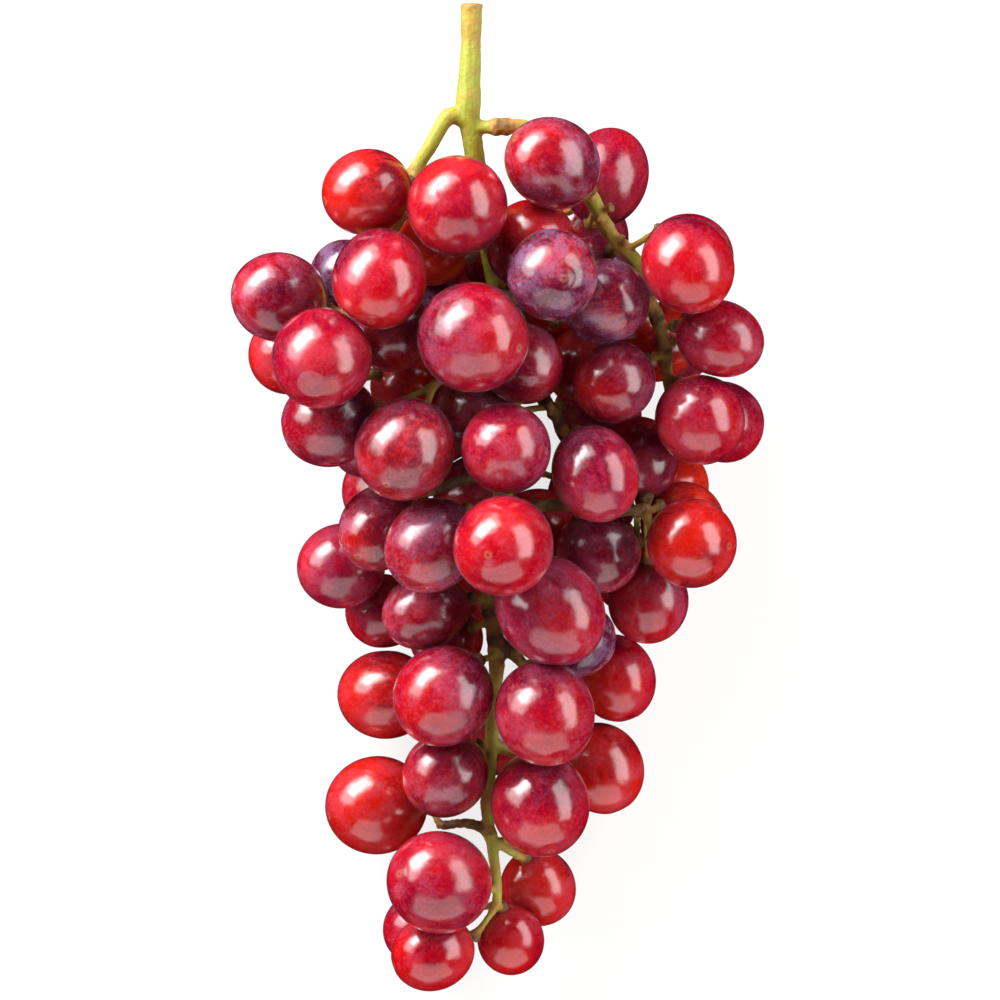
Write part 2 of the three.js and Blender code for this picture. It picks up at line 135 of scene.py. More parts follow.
# Berries of the face, in the part's order
FACE_ROWS = [BerryRow(*row) for row in (
    # Left shoulder
    (-28.5, 67.5, 49, 9.5, 10, Skin.GLOW, 0.15, (-0.9, -0.2, 0.3)),
    (-26, 48.5, 58, 10.5, 11.5, Skin.BRIGHT, 0.2, (-0.15, -0.85, 0.5)),
    (-18.5, 61.5, 27, 7.5, 8, Skin.DARK),
    (-34, 50, 28, 8, 8.5, Skin.PURPLE, 0.8),
    (-48, 44.5, 43, 10, 11, Skin.CRIMSON, 0.45, (-0.9, 0.2, 0.3)),
    (-38.5, 31, 57, 11, 11.5, Skin.RED, 0.2),
    (-46.5, 32.5, 26, 9, 9, Skin.GLOW),
    (-36.5, 17.5, 40, 10, 11, Skin.CRIMSON, 0.35, (-0.96, -0.25, 0.1)),
    (-29.5, 13.5, 22, 8.5, 8.5, Skin.CRIMSON),
    (-24, 37.5, 39, 9, 9, Skin.DARK),
    # Top
    (-9, 64, 60, 11, 12, Skin.RED, 0.15),
    (-13.5, 56.5, 37, 8.5, 9, Skin.CLEAR, 0.1),
    (0, 52.5, 25, 8, 8, Skin.DARK, 0.5),
    (-15.5, 42, 25, 9, 9, Skin.PURPLE, 0.5),
    (12, 73.5, 54, 10, 11, Skin.CRIMSON, 0.55, (-0.75, 0.48, 0.46)),
    (23.5, 71, 29, 9.5, 11.5, Skin.RED, 0.2, (0.3, 0.9, -0.3)),
    (7, 55.5, 43, 10, 10.5, Skin.BRIGHT),
    (19.5, 59, 13, 9.5, 10, Skin.CRIMSON),
    (11.5, 49, 63, 10, 10, Skin.PURPLE, 1.0, (0.25, -0.1, 0.96)),
    (23, 43.5, 49, 9.5, 10, Skin.PURPLE, 0.7),
    (22, 50, 31, 9, 9, Skin.CRIMSON, 0.5),
    # Right shoulder
    (41, 51.5, 57, 10, 11, Skin.BRIGHT, 0.15, (0.49, -0.77, 0.41)),
    (41.5, 53.5, 34, 10, 10.5, Skin.RED),
    (48, 35.5, 47, 8.5, 10, Skin.RED, 0.25, (0.9, -0.3, 0.3)),
    (34.5, 35, 27, 9, 9.5, Skin.CLEAR, 0.05),
    (25.5, 26, 47, 9, 9.5, Skin.CRIMSON, 0.3),
    (19, 29.5, 28, 9, 9, Skin.GLOW),
    (44, 18, 43, 10, 10, Skin.RED, 0.25),
    (49.5, 17.5, 24, 9, 9.5, Skin.RED),
    (31, 9, 31, 9, 9.5, Skin.RED),
    (38, 3, 12, 9, 9, Skin.CLEAR, 0.1),
    # Middle
    (-6, 35.5, 62, 12, 12.5, Skin.RED, 0.35, (0.8, -0.2, 0.55)),
    (4.5, 30, 44, 9, 9.5, Skin.DUSKY, 0.4),
    (-5.5, 19.5, 39, 9, 9.5, Skin.BROWN, 0.3),
    (-20.5, 25.5, 28, 8.5, 8.5, Skin.CLEAR, 0.05),
    (1.5, 11, 57, 10, 10.5, Skin.PINK, 0.4),
    (-20.5, 11.5, 54, 11, 12, Skin.DARK, 0.3, (-0.34, -0.68, 0.65)),
    (-26, -6, 31, 9, 11, Skin.DARK, 0.5, (-0.45, -0.6, 0.65)),
    (-14.5, -9.5, 46, 10, 11, Skin.DUSKY, 0.55, (-0.61, -0.72, 0.34)),
    (1, -10, 62, 11, 12, Skin.BRIGHT, 0.2, (-0.28, -0.15, 0.95)),
    (11, -24, 47, 11.5, 13.5, Skin.PINK, 0.35, (0.65, -0.65, 0.4)),
    (16.5, -31, 26, 8.5, 9, Skin.PURPLE, 0.7),
    (21, 6, 52, 9.5, 11, Skin.PINK, 0.3, (0.3, -0.85, 0.4)),
    (22, -11, 33, 9.5, 9.5, Skin.DUSKY, 0.4),
    (33, -22, 24, 9, 9.5, Skin.RED, 0.3),
    (42, -9.5, 43, 10, 10, Skin.GLOW, 0.15, (0.83, -0.06, 0.55)),
    (40.5, -5, 24, 9.5, 9.5, Skin.CLEAR, 0.1),
    # Waist
    (-16, -24.5, 34, 8.5, 10, Skin.CRIMSON, 0.3, (-0.9, -0.3, 0.2)),
    (-26, -24.5, 19, 8.5, 8.5, Skin.RED),
    (-34.5, -14.5, 30, 9.5, 10, Skin.PINK, 0.3),
    (-11.5, -31, 15, 8, 8.5, Skin.CRIMSON),
    (-12, -43, 39, 11, 11.5, Skin.RED, 0.4, (-0.64, -0.68, 0.36)),
    (-25, -43.5, 15, 10, 11, Skin.GLOW, 0.15),
    (10, -46.5, 43, 11, 12, Skin.RED, 0.35, (0.25, -0.85, 0.45)),
    (26, -39.5, 12, 9, 10, Skin.BRIGHT, 0.2, (0.3, -0.9, 0.2)),
    # Tail
    (-11.5, -60.5, 29, 9.5, 10, Skin.DUSKY, 0.35),
    (9, -67, 32, 11, 12, Skin.RED, 0.25, (0.2, -0.85, 0.45)),
    (22.5, -60, 11, 9.5, 10.5, Skin.GLOW, 0.25, (0.4, -0.85, 0.2)),
    (-13, -84.5, 32, 11.5, 12, Skin.RED, 0.3, (-0.75, 0.18, 0.64)),
    (-27, -68, 14, 11, 11.5, Skin.GLOW, 0.2, (-0.9, -0.2, 0.3)),
    (-14.5, -100.5, 20, 8.5, 9.5, Skin.BRIGHT, 0.2, (-0.9, -0.3, 0.2)),
    (-18, -96, 8, 8, 8, Skin.RED),
    (2.5, -97.5, 17, 7.5, 8, Skin.BRIGHT, 0.2),
    (8.5, -86.5, 10, 8.5, 9, Skin.GLOW, 0.25),
    # Deep between the crown and the middle
    (11, 41, 25, 8, 8, Skin.CLEAR, 0.1),
)]

# Outline of the berries that the face hides, as y, left edge and right edge
HIDDEN_OUTLINE = [
    (76, -26, 26),
    (55, -50, 48),
    (30, -52, 54),
    (5, -38, 52),
    (-20, -38, 42),
    (-45, -34, 32),
    (-70, -34, 24),
    (-95, -22, 14),
]
# Spacing of their rows and columns, their least and largest radius, how much longer than wide they are, how
# far each is moved at random, and the shift of every other row as a share of a column
HIDDEN_ROW = 17.5
HIDDEN_COLUMN = 20
HIDDEN_RADII = (9, 10.2)
HIDDEN_STRETCH = 1.06
HIDDEN_SHIFT = 1.5
HIDDEN_BLOOM = 0.3
HIDDEN_OFFSET = 0.25
# Skins of the hidden berries in turn; one of them is the orange painted glow that stands in for light through
# the flesh
HIDDEN_SKINS = (Skin.RED, Skin.GLOW, Skin.CRIMSON, Skin.BRIGHT, Skin.DUSKY)
# Places where the photo shows a gap between the berries, and the room that hidden berries leave there
OPEN_GAPS = [(-18.5, 77), (-0.5, 76), (-37, 61), (12, 20.5), (-2, -26.5), (0, -74)]
OPEN_GAP_RADIUS = 9

# Where each group of berries starts to be gathered
GROUP_SEEDS = {
    "left_shoulder": (-30, 62, 50),
    "left_wing": (-44, 36, 45),
    "left_wing_under": (-40, 30, 18),
    "left_inner": (-20, 36, 32),
    "crown": (-8, 62, 56),
    "crown_under": (-4, 56, 14),
    "right_crown": (22, 66, 20),
    "right_inner": (20, 44, 54),
    "right_wing": (44, 46, 46),
    "right_wing_under": (40, 24, 14),
    "right_side": (44, 14, 34),
    "centre": (-4, 32, 56),
    "centre_under": (2, 18, 14),
    "left_side": (-22, 6, 44),
    "heart": (4, -6, 58),
    "heart_under": (2, -16, 12),
    "right_waist": (36, -10, 32),
    "left_waist": (-28, -18, 24),
    "left_tail": (-18, -46, 32),
    "right_tail": (14, -48, 34),
    "left_tip": (-18, -78, 26),
    "right_tip": (6, -90, 16),
}


@dataclass(frozen=True)
class HiddenLayer:
    """One layer of hidden berries: its height, how far it stays inside the outline, its rows and its room."""

    height: float
    inset: float
    first_row: float
    last_row: float
    start: float
    room: float


HIDDEN_LAYERS = [
    HiddenLayer(10, 13, 70, -90, 0, 15.5),
    HiddenLayer(28, 9, 70, -30, 0.5, 17.5),
]


@dataclass(frozen=True)
class Knob:
    """A swelling of a stalk: how far along it, how much thicker the stalk is there, its length and how much
    more cork covers it."""

    share: float
    extra: float
    length: float = 1.6
    cork: float = 0.5


@dataclass(frozen=True)
class Stalk:
    """One stalk of the stem: its radius where it starts and ends, how much cork covers it there, the points
    along it and its swellings."""

    name: str
    start_radius: float
    end_radius: float
    start_cork: float
    end_cork: float
    points: tuple[Point, ...]
    knobs: tuple[Knob, ...] = ()


STALKS = [
    Stalk("rachis", 2.6, 1.1, 0.08, 0.2, (
        (-6, 109.1, 44), (-6.3, 97, 43.5), (-6.8, 86, 43), (-6, 80, 42), (-5, 73.5, 40), (-2.5, 57, 36),
        (1, 37.5, 33), (3, 17.5, 28), (0, -4.5, 29), (-2, -22, 29), (-0.5, -34, 27), (-1.5, -50.5, 24),
        (-2.5, -69.5, 21), (-1.5, -77, 21), (-0.5, -86, 21), (-0.5, -90, 21),
    ), (
        Knob(0.0, -0.2, 9, 0.14), Knob(0.0, 0.1, 0.9, 0.5), Knob(0.03, 0.12, 1.2, 0.16),
        Knob(0.045, -0.25, 4, 0.12), Knob(0.125, 0.45, 5, 0.0),
        Knob(0.3, 0.5, 3, 0.5), Knob(0.42, 0.4, 4, 0.8), Knob(0.53, 0.5, 5, 0.9), Knob(0.6, 0.5, 5, 1.1),
        Knob(0.66, 0.5, 4, 1.2), Knob(0.72, 0.4, 2.5, 0.3), Knob(0.79, 0.4, 2.5, 0.25),
        Knob(0.84, 0.4, 2.2, 0.35),
    )),
    Stalk("left_shoulder", 1.9, 1.2, 0.0, 0.35, (
        (-6.8, 83, 43), (-11, 84.3, 44), (-15, 78, 44), (-18.5, 72, 43), (-21.5, 63, 41), (-28, 52.5, 39.5),
        (-32.5, 43, 40), (-34.5, 35, 40), (-33, 26, 37),
    ), (
        Knob(0.12, 0.25, 1.8, 0.3), Knob(0.3, -0.1, 8, 0.0), Knob(0.38, 0.35, 1.6, 0.5),
        Knob(0.6, 0.4, 2, 0.6),
    )),
    Stalk("right_shoulder", 1.9, 1.2, 0.05, 0.3, (
        (-6.8, 82, 42.5), (0, 82, 43), (5.5, 82, 42), (11.5, 79, 39), (16.5, 73, 40), (20, 67, 42.5),
        (24.5, 58.5, 45), (31, 51.5, 45), (33, 44.5, 42), (36, 36.5, 40), (37, 28, 37), (38, 22, 34),
    ), (
        Knob(0.05, -0.35, 2, 0.0), Knob(0.08, 0.35, 0.7, 1.0), Knob(0.1, 0.4, 0.6, 1.1),
        Knob(0.12, 0.3, 0.6, 0.9), Knob(0.15, -0.1, 3, 0.2), Knob(0.47, 0.35, 1.8, 0.15),
        Knob(0.53, 0.35, 1.2, 0.2), Knob(0.58, 0.3, 1.4, 0.2),
        Knob(0.7, 0.4, 2.4, 0.8), Knob(0.78, 0.45, 2.2, 0.8), Knob(0.86, 0.4, 2.4, 0.9),
    )),
    Stalk("top", 1.4, 1.1, 0.8, 1.0, ((-3, 61, 37), (-5, 56, 41), (-6.5, 52.5, 44))),
    Stalk("upper_right", 1.4, 1.1, 0.9, 1.0, ((-1.5, 46, 35), (6.5, 43, 39), (13.5, 38.5, 42))),
    Stalk("middle_right", 1.5, 1.1, 0.8, 1.0, (
        (1.5, 31, 31.5), (8, 24.5, 37), (12, 19.5, 42), (14, 15, 43),
    ), (
        Knob(0.45, 0.5, 1.4, 0.7), Knob(0.7, 0.6, 1.4, 0.8), Knob(0.95, 0.5, 1.4, 0.9))),
    Stalk("middle_left", 1.4, 1.1, 0.4, 0.6, ((0.5, 38, 33), (-7.5, 31, 42), (-14.5, 25, 45))),
    Stalk("left_flank", 1.4, 1.1, 0.9, 1.0, ((1.5, 7, 28.5), (-8, 4.5, 35), (-14, 2, 38))),
    Stalk("heart", 1.3, 1.1, 0.9, 1.0, ((0.5, -1, 29), (1.5, -1, 37), (2.5, -2, 43))),
    Stalk("right_flank", 1.5, 1.1, 0.9, 1.0, ((0, -3, 29), (12, -1, 36), (22, -2, 40), (32.5, -2.5, 36)), (
        Knob(0.55, 0.4, 1.6, 0.8), Knob(0.8, 0.5, 1.6, 0.9), Knob(0.95, 0.5, 1.4, 1.0))),
    Stalk("left_waist", 1.4, 1.1, 1.0, 1.0, ((-1.5, -16, 29), (-8.5, -16, 26), (-15, -16.5, 24))),
    Stalk("right_waist", 1.4, 1.1, 1.0, 1.0, ((-1, -30, 27.5), (5, -36, 27), (12, -39, 25))),
    Stalk("left_tail", 1.3, 1.0, 0.7, 0.9, ((-1, -43, 25.5), (-4, -47, 24), (-7.5, -49, 22))),
    Stalk("right_tail", 1.3, 1.0, 0.3, 0.4, ((-2, -54, 23.5), (3, -56, 21.5), (8, -56, 19))),
    Stalk("left_tip", 1.3, 1.0, 0.7, 1.0, ((-2.5, -73.5, 21), (-7, -72, 20), (-13, -72.5, 19))),
    Stalk("right_tip", 1.2, 1.0, 0.1, 0.4, ((-1.5, -75.5, 21), (1.5, -77.5, 19.5), (4, -79, 18))),
]

# Short stubs whose berry was lost, as the root on the stalk and the brown end
STUBS = [
    ((23.2, 61.0, 44.4), (21.2, 62.0, 46.9)),
    ((21.8, 63.4, 43.6), (24.8, 64.3, 45.9)),
    ((25.0, 58.0, 45.0), (27.2, 57.0, 47.8)),
    ((19.6, 67.6, 42.4), (18.0, 66.6, 44.8)),
    ((33.6, 42.6, 41.4), (31.4, 43.4, 43.6)),
    ((36.2, 34.6, 39.4), (38.8, 35.0, 41.6)),
    ((12.4, 19.2, 42.0), (10.6, 21.6, 44.2)),
    ((-1.6, -15.0, 29.0), (-2.8, -18.4, 32.2)),
]


def minus(first: Point, second: Point) -> Point:
    """First point less second point."""
    return (first[0] - second[0], first[1] - second[1], first[2] - second[2])


def dot(first: Point, second: Point) -> float:
    """Dot product of two directions."""
    return first[0] * second[0] + first[1] * second[1] + first[2] * second[2]


def span(first: Point, second: Point) -> float:
    """Distance between two points."""
    return math.dist(first, second)


def unit(direction: Point) -> Point:
    """Direction made one long."""
    size = math.sqrt(dot(direction, direction))
    return (direction[0] / size, direction[1] / size, direction[2] / size)


def along(start: Point, direction: Point, distance: float) -> Point:
    """Point at a distance from a start in a direction."""
    return tuple(start[axis] + direction[axis] * distance for axis in range(3))


def smooth_line(points: tuple[Point, ...], spacing: float) -> list[tuple[Point, float]]:
    """Draws a smooth line through points, as the part does.

    Args:
        points: Points that it goes through, in millimetres.
        spacing: Largest distance between two places on it, in millimetres.

    Returns:
        Places along the line, each with the share of the points that is behind it.
    """
    first = along(points[0], minus(points[0], points[1]), 1)
    last = along(points[-1], minus(points[-1], points[-2]), 1)
    knots = [first, *points, last]
    pieces = len(points) - 1
    line = []
    for piece in range(pieces):
        before, start, end, after = knots[piece:piece + 4]
        count = math.ceil(span(start, end) / spacing)
        for step in range(count):
            t = step / count
            place = tuple(0.5 * (
                2 * b + (c - a) * t + (2 * a - 5 * b + 4 * c - d) * t * t
                + (3 * b - a - 3 * c + d) * t * t * t
            ) for a, b, c, d in zip(before, start, end, after))
            line.append((place, (piece + t) / pieces))
    line.append((points[-1], 1.0))
    return line


def linear(colour: str) -> tuple[float, float, float, float]:
    """Turns an sRGB hex value to the linear colour that a shader takes.

    Args:
        colour: Six hex digits after a hash sign.

    Returns:
        Red, green, blue and an alpha of 1.
    """
    shares = [int(colour[place:place + 2], 16) / 255 for place in (1, 3, 5)]
    channels = [share / 12.92 if share <= 0.04045 else ((share + 0.055) / 1.055) ** 2.4 for share in shares]
    return (channels[0], channels[1], channels[2], 1.0)


def deselect_all() -> None:
    """Leaves nothing selected, so that an operator acts on the new piece alone."""
    bpy.ops.object.select_all(action="DESELECT")


def select_only(*pieces: Piece) -> None:
    """Selects pieces and nothing else, and makes the first one active.

    Args:
        pieces: The pieces.
    """
    deselect_all()
    for piece in pieces:
        piece.select_set(True)
    bpy.context.view_layer.objects.active = pieces[0]


def apply_modifier(piece: Piece, kind: str, **settings) -> None:
    """Adds a modifier to the active piece and applies it.

    Args:
        piece: The active piece.
        kind: Blender's name of the modifier.
        settings: Its properties.
    """
    bpy.ops.object.modifier_add(type=kind)
    modifier = piece.modifiers[-1]
    for name, value in settings.items():
        setattr(modifier, name, value)
    bpy.ops.object.modifier_apply(modifier=modifier.name)


def store(mesh: Mesh, name: str, values: np.ndarray, kind: str = "FLOAT", item: str = "value") -> None:
    """Stores an attribute of the vertices.

    Args:
        mesh: The mesh.
        name: Name of the attribute.
        values: Its values, one after the other.
        kind: Blender's name of its type.
        item: Blender's name of one value.
    """
    attribute = mesh.attributes.new(name, kind, "POINT")
    attribute.data.foreach_set(item, values)


@dataclass(frozen=True)
class Bead:
    """A point along a stalk, with the stalk's radius there."""

    place: Point
    radius: float


@dataclass(eq=False)
class Berry:
    """One berry as it settles among the others."""

    centre: list[float]
    home: Point
    width: float
    length: float
    axis: Point
    freedom: Point
    skin: Skin
    bloom: float
    scar: float = FAINT_SCAR
    beads: list[Bead] = field(default_factory=list)

    def reach(self, direction: Point) -> float:
        """Finds how far the skin is from the centre.

        Args:
            direction: A direction of length one.

        Returns:
            Distance in millimetres.
        """
        lengthwise = dot(direction, self.axis)
        crosswise = (1 - lengthwise * lengthwise) / (self.width * self.width)
        return 1 / math.sqrt((lengthwise / self.length) ** 2 + crosswise)

    def give(self, line: Point) -> float:
        """How easily the berry moves along a line."""
        return dot((line[0] * line[0], line[1] * line[1], line[2] * line[2]), self.freedom)

    def move(self, line: Point, push: float) -> None:
        """Moves the berry along a line, by as much on each axis as it is free to move there."""
        for axis in range(3):
            self.centre[axis] += line[axis] * self.freedom[axis] * push


@dataclass
class Group:
    """Berries that hang together and replace one node."""

    name: str
    seed: Point
    members: list[Berry] = field(default_factory=list)


def space_between(first: Berry, second: Berry) -> float:
    """Finds the space left between two berries.

    Args:
        first: One berry.
        second: The other one.

    Returns:
        Space in millimetres, less than zero where they press into each other.
    """
    distance = span(first.centre, second.centre)
    line = unit(minus(second.centre, first.centre))
    return distance - first.reach(line) - second.reach(line)


def repeatable_numbers(seed: int) -> Iterator[float]:
    """Gives the part's own repeatable random numbers, one after the other.

    Args:
        seed: Number that the row starts from.

    Yields:
        Numbers from 0 to 1.
    """
    state = seed
    while True:
        state = (state * RANDOM_FACTOR) % RANDOM_MODULUS
        yield state / RANDOM_MODULUS


@dataclass
class Layout:
    """Where every berry of the bunch lies, by the part's own rule."""

    seed: int = 4711
    beads: list[Bead] = field(default_factory=list)
    berries: list[Berry] = field(default_factory=list)
    groups: list[Group] = field(default_factory=list)

    def lay_out(self) -> None:
        """Places the berries, settles them and gathers them in groups."""
        for stalk in STALKS:
            self.beads.extend(self.stalk_beads(stalk))
        shown = [self.face_berry(row) for row in FACE_ROWS]
        self.berries = shown + self.hidden_berries(shown)
        self.settle()
        self.gather()

    def stalk_beads(self, stalk: Stalk) -> list[Bead]:
        """Spaces beads along a stalk.

        Args:
            stalk: The stalk to follow.

        Returns:
            The beads, from its start to its end.
        """
        beads = []
        pieces = len(stalk.points) - 1
        change = stalk.end_radius - stalk.start_radius
        for piece in range(pieces):
            start, end = stalk.points[piece], stalk.points[piece + 1]
            count = math.ceil(span(start, end) / BEAD_SPACING)
            for step in range(count):
                share = step / count
                place = along(start, minus(end, start), share)
                beads.append(Bead(place, stalk.start_radius + change * (piece + share) / pieces))
        beads.append(Bead(stalk.points[-1], stalk.end_radius))
        return beads

    def hanging_axis(self, centre: Point, length: float) -> Point:
        """Finds the way a berry's far end points, away from the nearest stalk and towards the bunch's tip.

        Args:
            centre: Centre of the berry.
            length: Half its length.

        Returns:
            A direction of length one.
        """
        outside = [bead for bead in self.beads if span(bead.place, centre) > length + RECEPTACLE_LENGTH]
        nearest = min(outside, key=lambda bead: span(bead.place, centre))
        away = unit(minus(centre, nearest.place))
        return unit((away[0], away[1] - PEDICEL_SAG, away[2]))

    def face_berry(self, row: BerryRow) -> Berry:
        """Makes a berry of the face from its row.

        Args:
            row: Its place, size and looks.

        Returns:
            The berry before it settles.
        """
        place = (row.x, row.y, row.height)
        axis = unit(row.far_end) if row.far_end else self.hanging_axis(place, row.length)
        scar = 1.0 if row.far_end else FAINT_SCAR
        looks = (row.skin, row.bloom, scar)
        return Berry(list(place), place, row.width, row.length, axis, SHOWN_FREEDOM, *looks)

    def outline_at(self, y: float) -> tuple[float, float]:
        """Finds how far the hidden berries may reach.

        Args:
            y: Place along the bunch.

        Returns:
            Left and right edge there.
        """
        last = len(HIDDEN_OUTLINE) - 1
        row = 0
        while row < last - 1 and y < HIDDEN_OUTLINE[row + 1][0]:
            row += 1
        start, end = HIDDEN_OUTLINE[row], HIDDEN_OUTLINE[row + 1]
        share = min(max((start[0] - y) / (start[0] - end[0]), 0), 1)
        return (start[1] + (end[1] - start[1]) * share, start[2] + (end[2] - start[2]) * share)

    def hidden_berries(self, shown: list[Berry]) -> list[Berry]:
        """Fills the back and the inside with rows of berries, wherever the face leaves room.

        Args:
            shown: The berries of the face.

        Returns:
            The hidden berries before they settle.
        """
        numbers = repeatable_numbers(self.seed)
        placed: list[Berry] = []
        for layer in HIDDEN_LAYERS:
            row = 0
            y = layer.first_row
            while y > layer.last_row:
                left, right = self.outline_at(y)
                first = left + layer.inset
                room = right - layer.inset - first
                count = max(1, math.floor(room / HIDDEN_COLUMN + 0.5) + 1)
                offset = HIDDEN_OFFSET if (row + layer.start) % 2 == 1 else 0
                for column in range(count):
                    share = 0.5 if count == 1 else (column + offset) / (count - 1 + 2 * offset)
                    radius = HIDDEN_RADII[0] + (HIDDEN_RADII[1] - HIDDEN_RADII[0]) * next(numbers)
                    x_shift = HIDDEN_SHIFT * (2 * next(numbers) - 1)
                    y_shift = HIDDEN_SHIFT * (2 * next(numbers) - 1)
                    place = (first + room * share + x_shift, y + y_shift, layer.height)
                    crowded = any(span(other.centre, place) < layer.room for other in shown + placed)
                    is_open = any(math.dist(gap, place[:2]) < OPEN_GAP_RADIUS for gap in OPEN_GAPS)
                    if crowded or is_open:
                        continue
                    length = radius * HIDDEN_STRETCH
                    skin = HIDDEN_SKINS[len(placed) % len(HIDDEN_SKINS)]
                    axis = self.hanging_axis(place, length)
                    looks = (skin, HIDDEN_BLOOM)
                    placed.append(Berry(list(place), place, radius, length, axis, HIDDEN_FREEDOM, *looks))
                row += 1
                y -= HIDDEN_ROW
        return placed

    def separate(self, first: Berry, second: Berry) -> None:
        """Moves two berries apart along the line between them.

        Args:
            first: One berry.
            second: The other one.
        """
        distance = span(first.centre, second.centre)
        if distance >= first.length + second.length:
            return
        line = unit(minus(second.centre, first.centre))
        need = first.reach(line) + second.reach(line) - PRESS_DEPTH
        if distance < need:
            push = (need - distance) / (first.give(line) + second.give(line))
            first.move(line, -push)
            second.move(line, push)

    def clear_stalk(self, berry: Berry, bead: Bead) -> None:
        """Moves a berry off a stalk.

        Args:
            berry: The berry.
            bead: Point of the stalk.
        """
        distance = span(berry.centre, bead.place)
        if distance >= berry.length + bead.radius + STEM_CLEARANCE:
            return
        line = unit(minus(berry.centre, bead.place))
        need = berry.reach(line) + bead.radius + STEM_CLEARANCE
        if distance < need:
            berry.move(line, (need - distance) / berry.give(line))

    def settle(self) -> None:
        """Lets the berries press on each other, keep off the stalks and lie on the surface."""
        pairs = []
        for index, berry in enumerate(self.berries):
            near = berry.length + NEIGHBOUR_RANGE
            berry.beads = [bead for bead in self.beads if span(bead.place, berry.centre) < near]
            for other in self.berries[index + 1:]:
                if span(other.centre, berry.centre) < near + other.length:
                    pairs.append((berry, other))
        for _ in range(SETTLE_ROUNDS):
            for berry in self.berries:
                for axis in range(3):
                    berry.centre[axis] += (berry.home[axis] - berry.centre[axis]) * HOME_SHARE[axis]
            for first, second in pairs:
                self.separate(first, second)
            for berry in self.berries:
                for bead in berry.beads:
                    self.clear_stalk(berry, bead)
                lowest = berry.reach((0.0, 0.0, -1.0)) - REST_DEPTH
                berry.centre[2] = max(berry.centre[2], lowest)

    def gather(self) -> None:
        """Gathers the berries in groups that grow from one berry to the next one that touches it."""
        free = list(self.berries)
        for name, seed in GROUP_SEEDS.items():
            first = min(free, key=lambda berry: span(berry.centre, seed))
            free.remove(first)
            self.groups.append(Group(name, seed, [first]))
        while free:
            best_cost, best_berry, best_group = math.inf, free[0], self.groups[0]
            for berry in free:
                for group in self.groups:
                    if len(group.members) >= GROUP_LIMIT:
                        continue
                    base = span(berry.centre, group.seed) + GROUP_BALANCE * len(group.members)
                    if base >= best_cost:
                        continue
                    for member in group.members:
                        space = space_between(berry, member)
                        cost = SPACE_COST * max(space + PRESS_DEPTH / 2, 0) + base
                        if cost < best_cost:
                            best_cost, best_berry, best_group = cost, berry, group
            free.remove(best_berry)
            best_group.members.append(best_berry)

    def pedicel_root(self, end: Point) -> tuple[Bead, float]:
        """Finds the bead that a berry's pedicel reaches on the shortest way clear of the berries.

        Args:
            end: Where the pedicel meets its berry.

        Returns:
            The bead, and how much of a detour the berries in its way are worth.
        """
        centres = np.array([berry.centre for berry in self.berries])
        widths = np.array([berry.width for berry in self.berries])
        best_cost, best_bead, best_crossing = math.inf, self.beads[0], 0.0
        for bead in self.beads:
            start = np.array(bead.place)
            way = np.array(end) - start
            distance = float(np.linalg.norm(way))
            shares = np.clip((centres - start) @ way / (distance * distance), 0, 1)
            closest = start + shares[:, None] * way
            depths = widths + PEDICEL_RADIUS - np.linalg.norm(centres - closest, axis=1)
            crossing = CROSSING_COST * float(depths[depths > 0].sum())
            if distance + crossing < best_cost:
                best_cost, best_bead, best_crossing = distance + crossing, bead, crossing
        return best_bead, best_crossing


def add_node(tree: bpy.types.NodeTree, kind: str, links: dict | None = None, out: int | str = 0,
             **settings) -> Socket | None:
    """Adds a node with its settings and its links.

    Args:
        tree: Node tree of the material.
        kind: Blender's name of the node, after ShaderNode.
        links: Value or output socket for each input, by name or number.
        out: Name or number of the output that is wanted.
        settings: Properties of the node itself.

    Returns:
        That output, or nothing where the node has none.
    """
    node = tree.nodes.new(f"ShaderNode{kind}")
    for name, value in settings.items():
        setattr(node, name, value)
    for key, value in (links or {}).items():
        if isinstance(value, Socket):
            tree.links.new(value, node.inputs[key])
        else:
            node.inputs[key].default_value = value
    return node.outputs[out] if len(node.outputs) else None


def new_material(name: str) -> tuple[bpy.types.Material, AddNode]:
    """Makes a material with an empty node tree.

    Args:
        name: Name of the material.

    Returns:
        The material, and add_node for its tree.
    """
    material = bpy.data.materials.new(name)
    material.use_nodes = True
    material.node_tree.nodes.clear()
    return material, partial(add_node, material.node_tree)


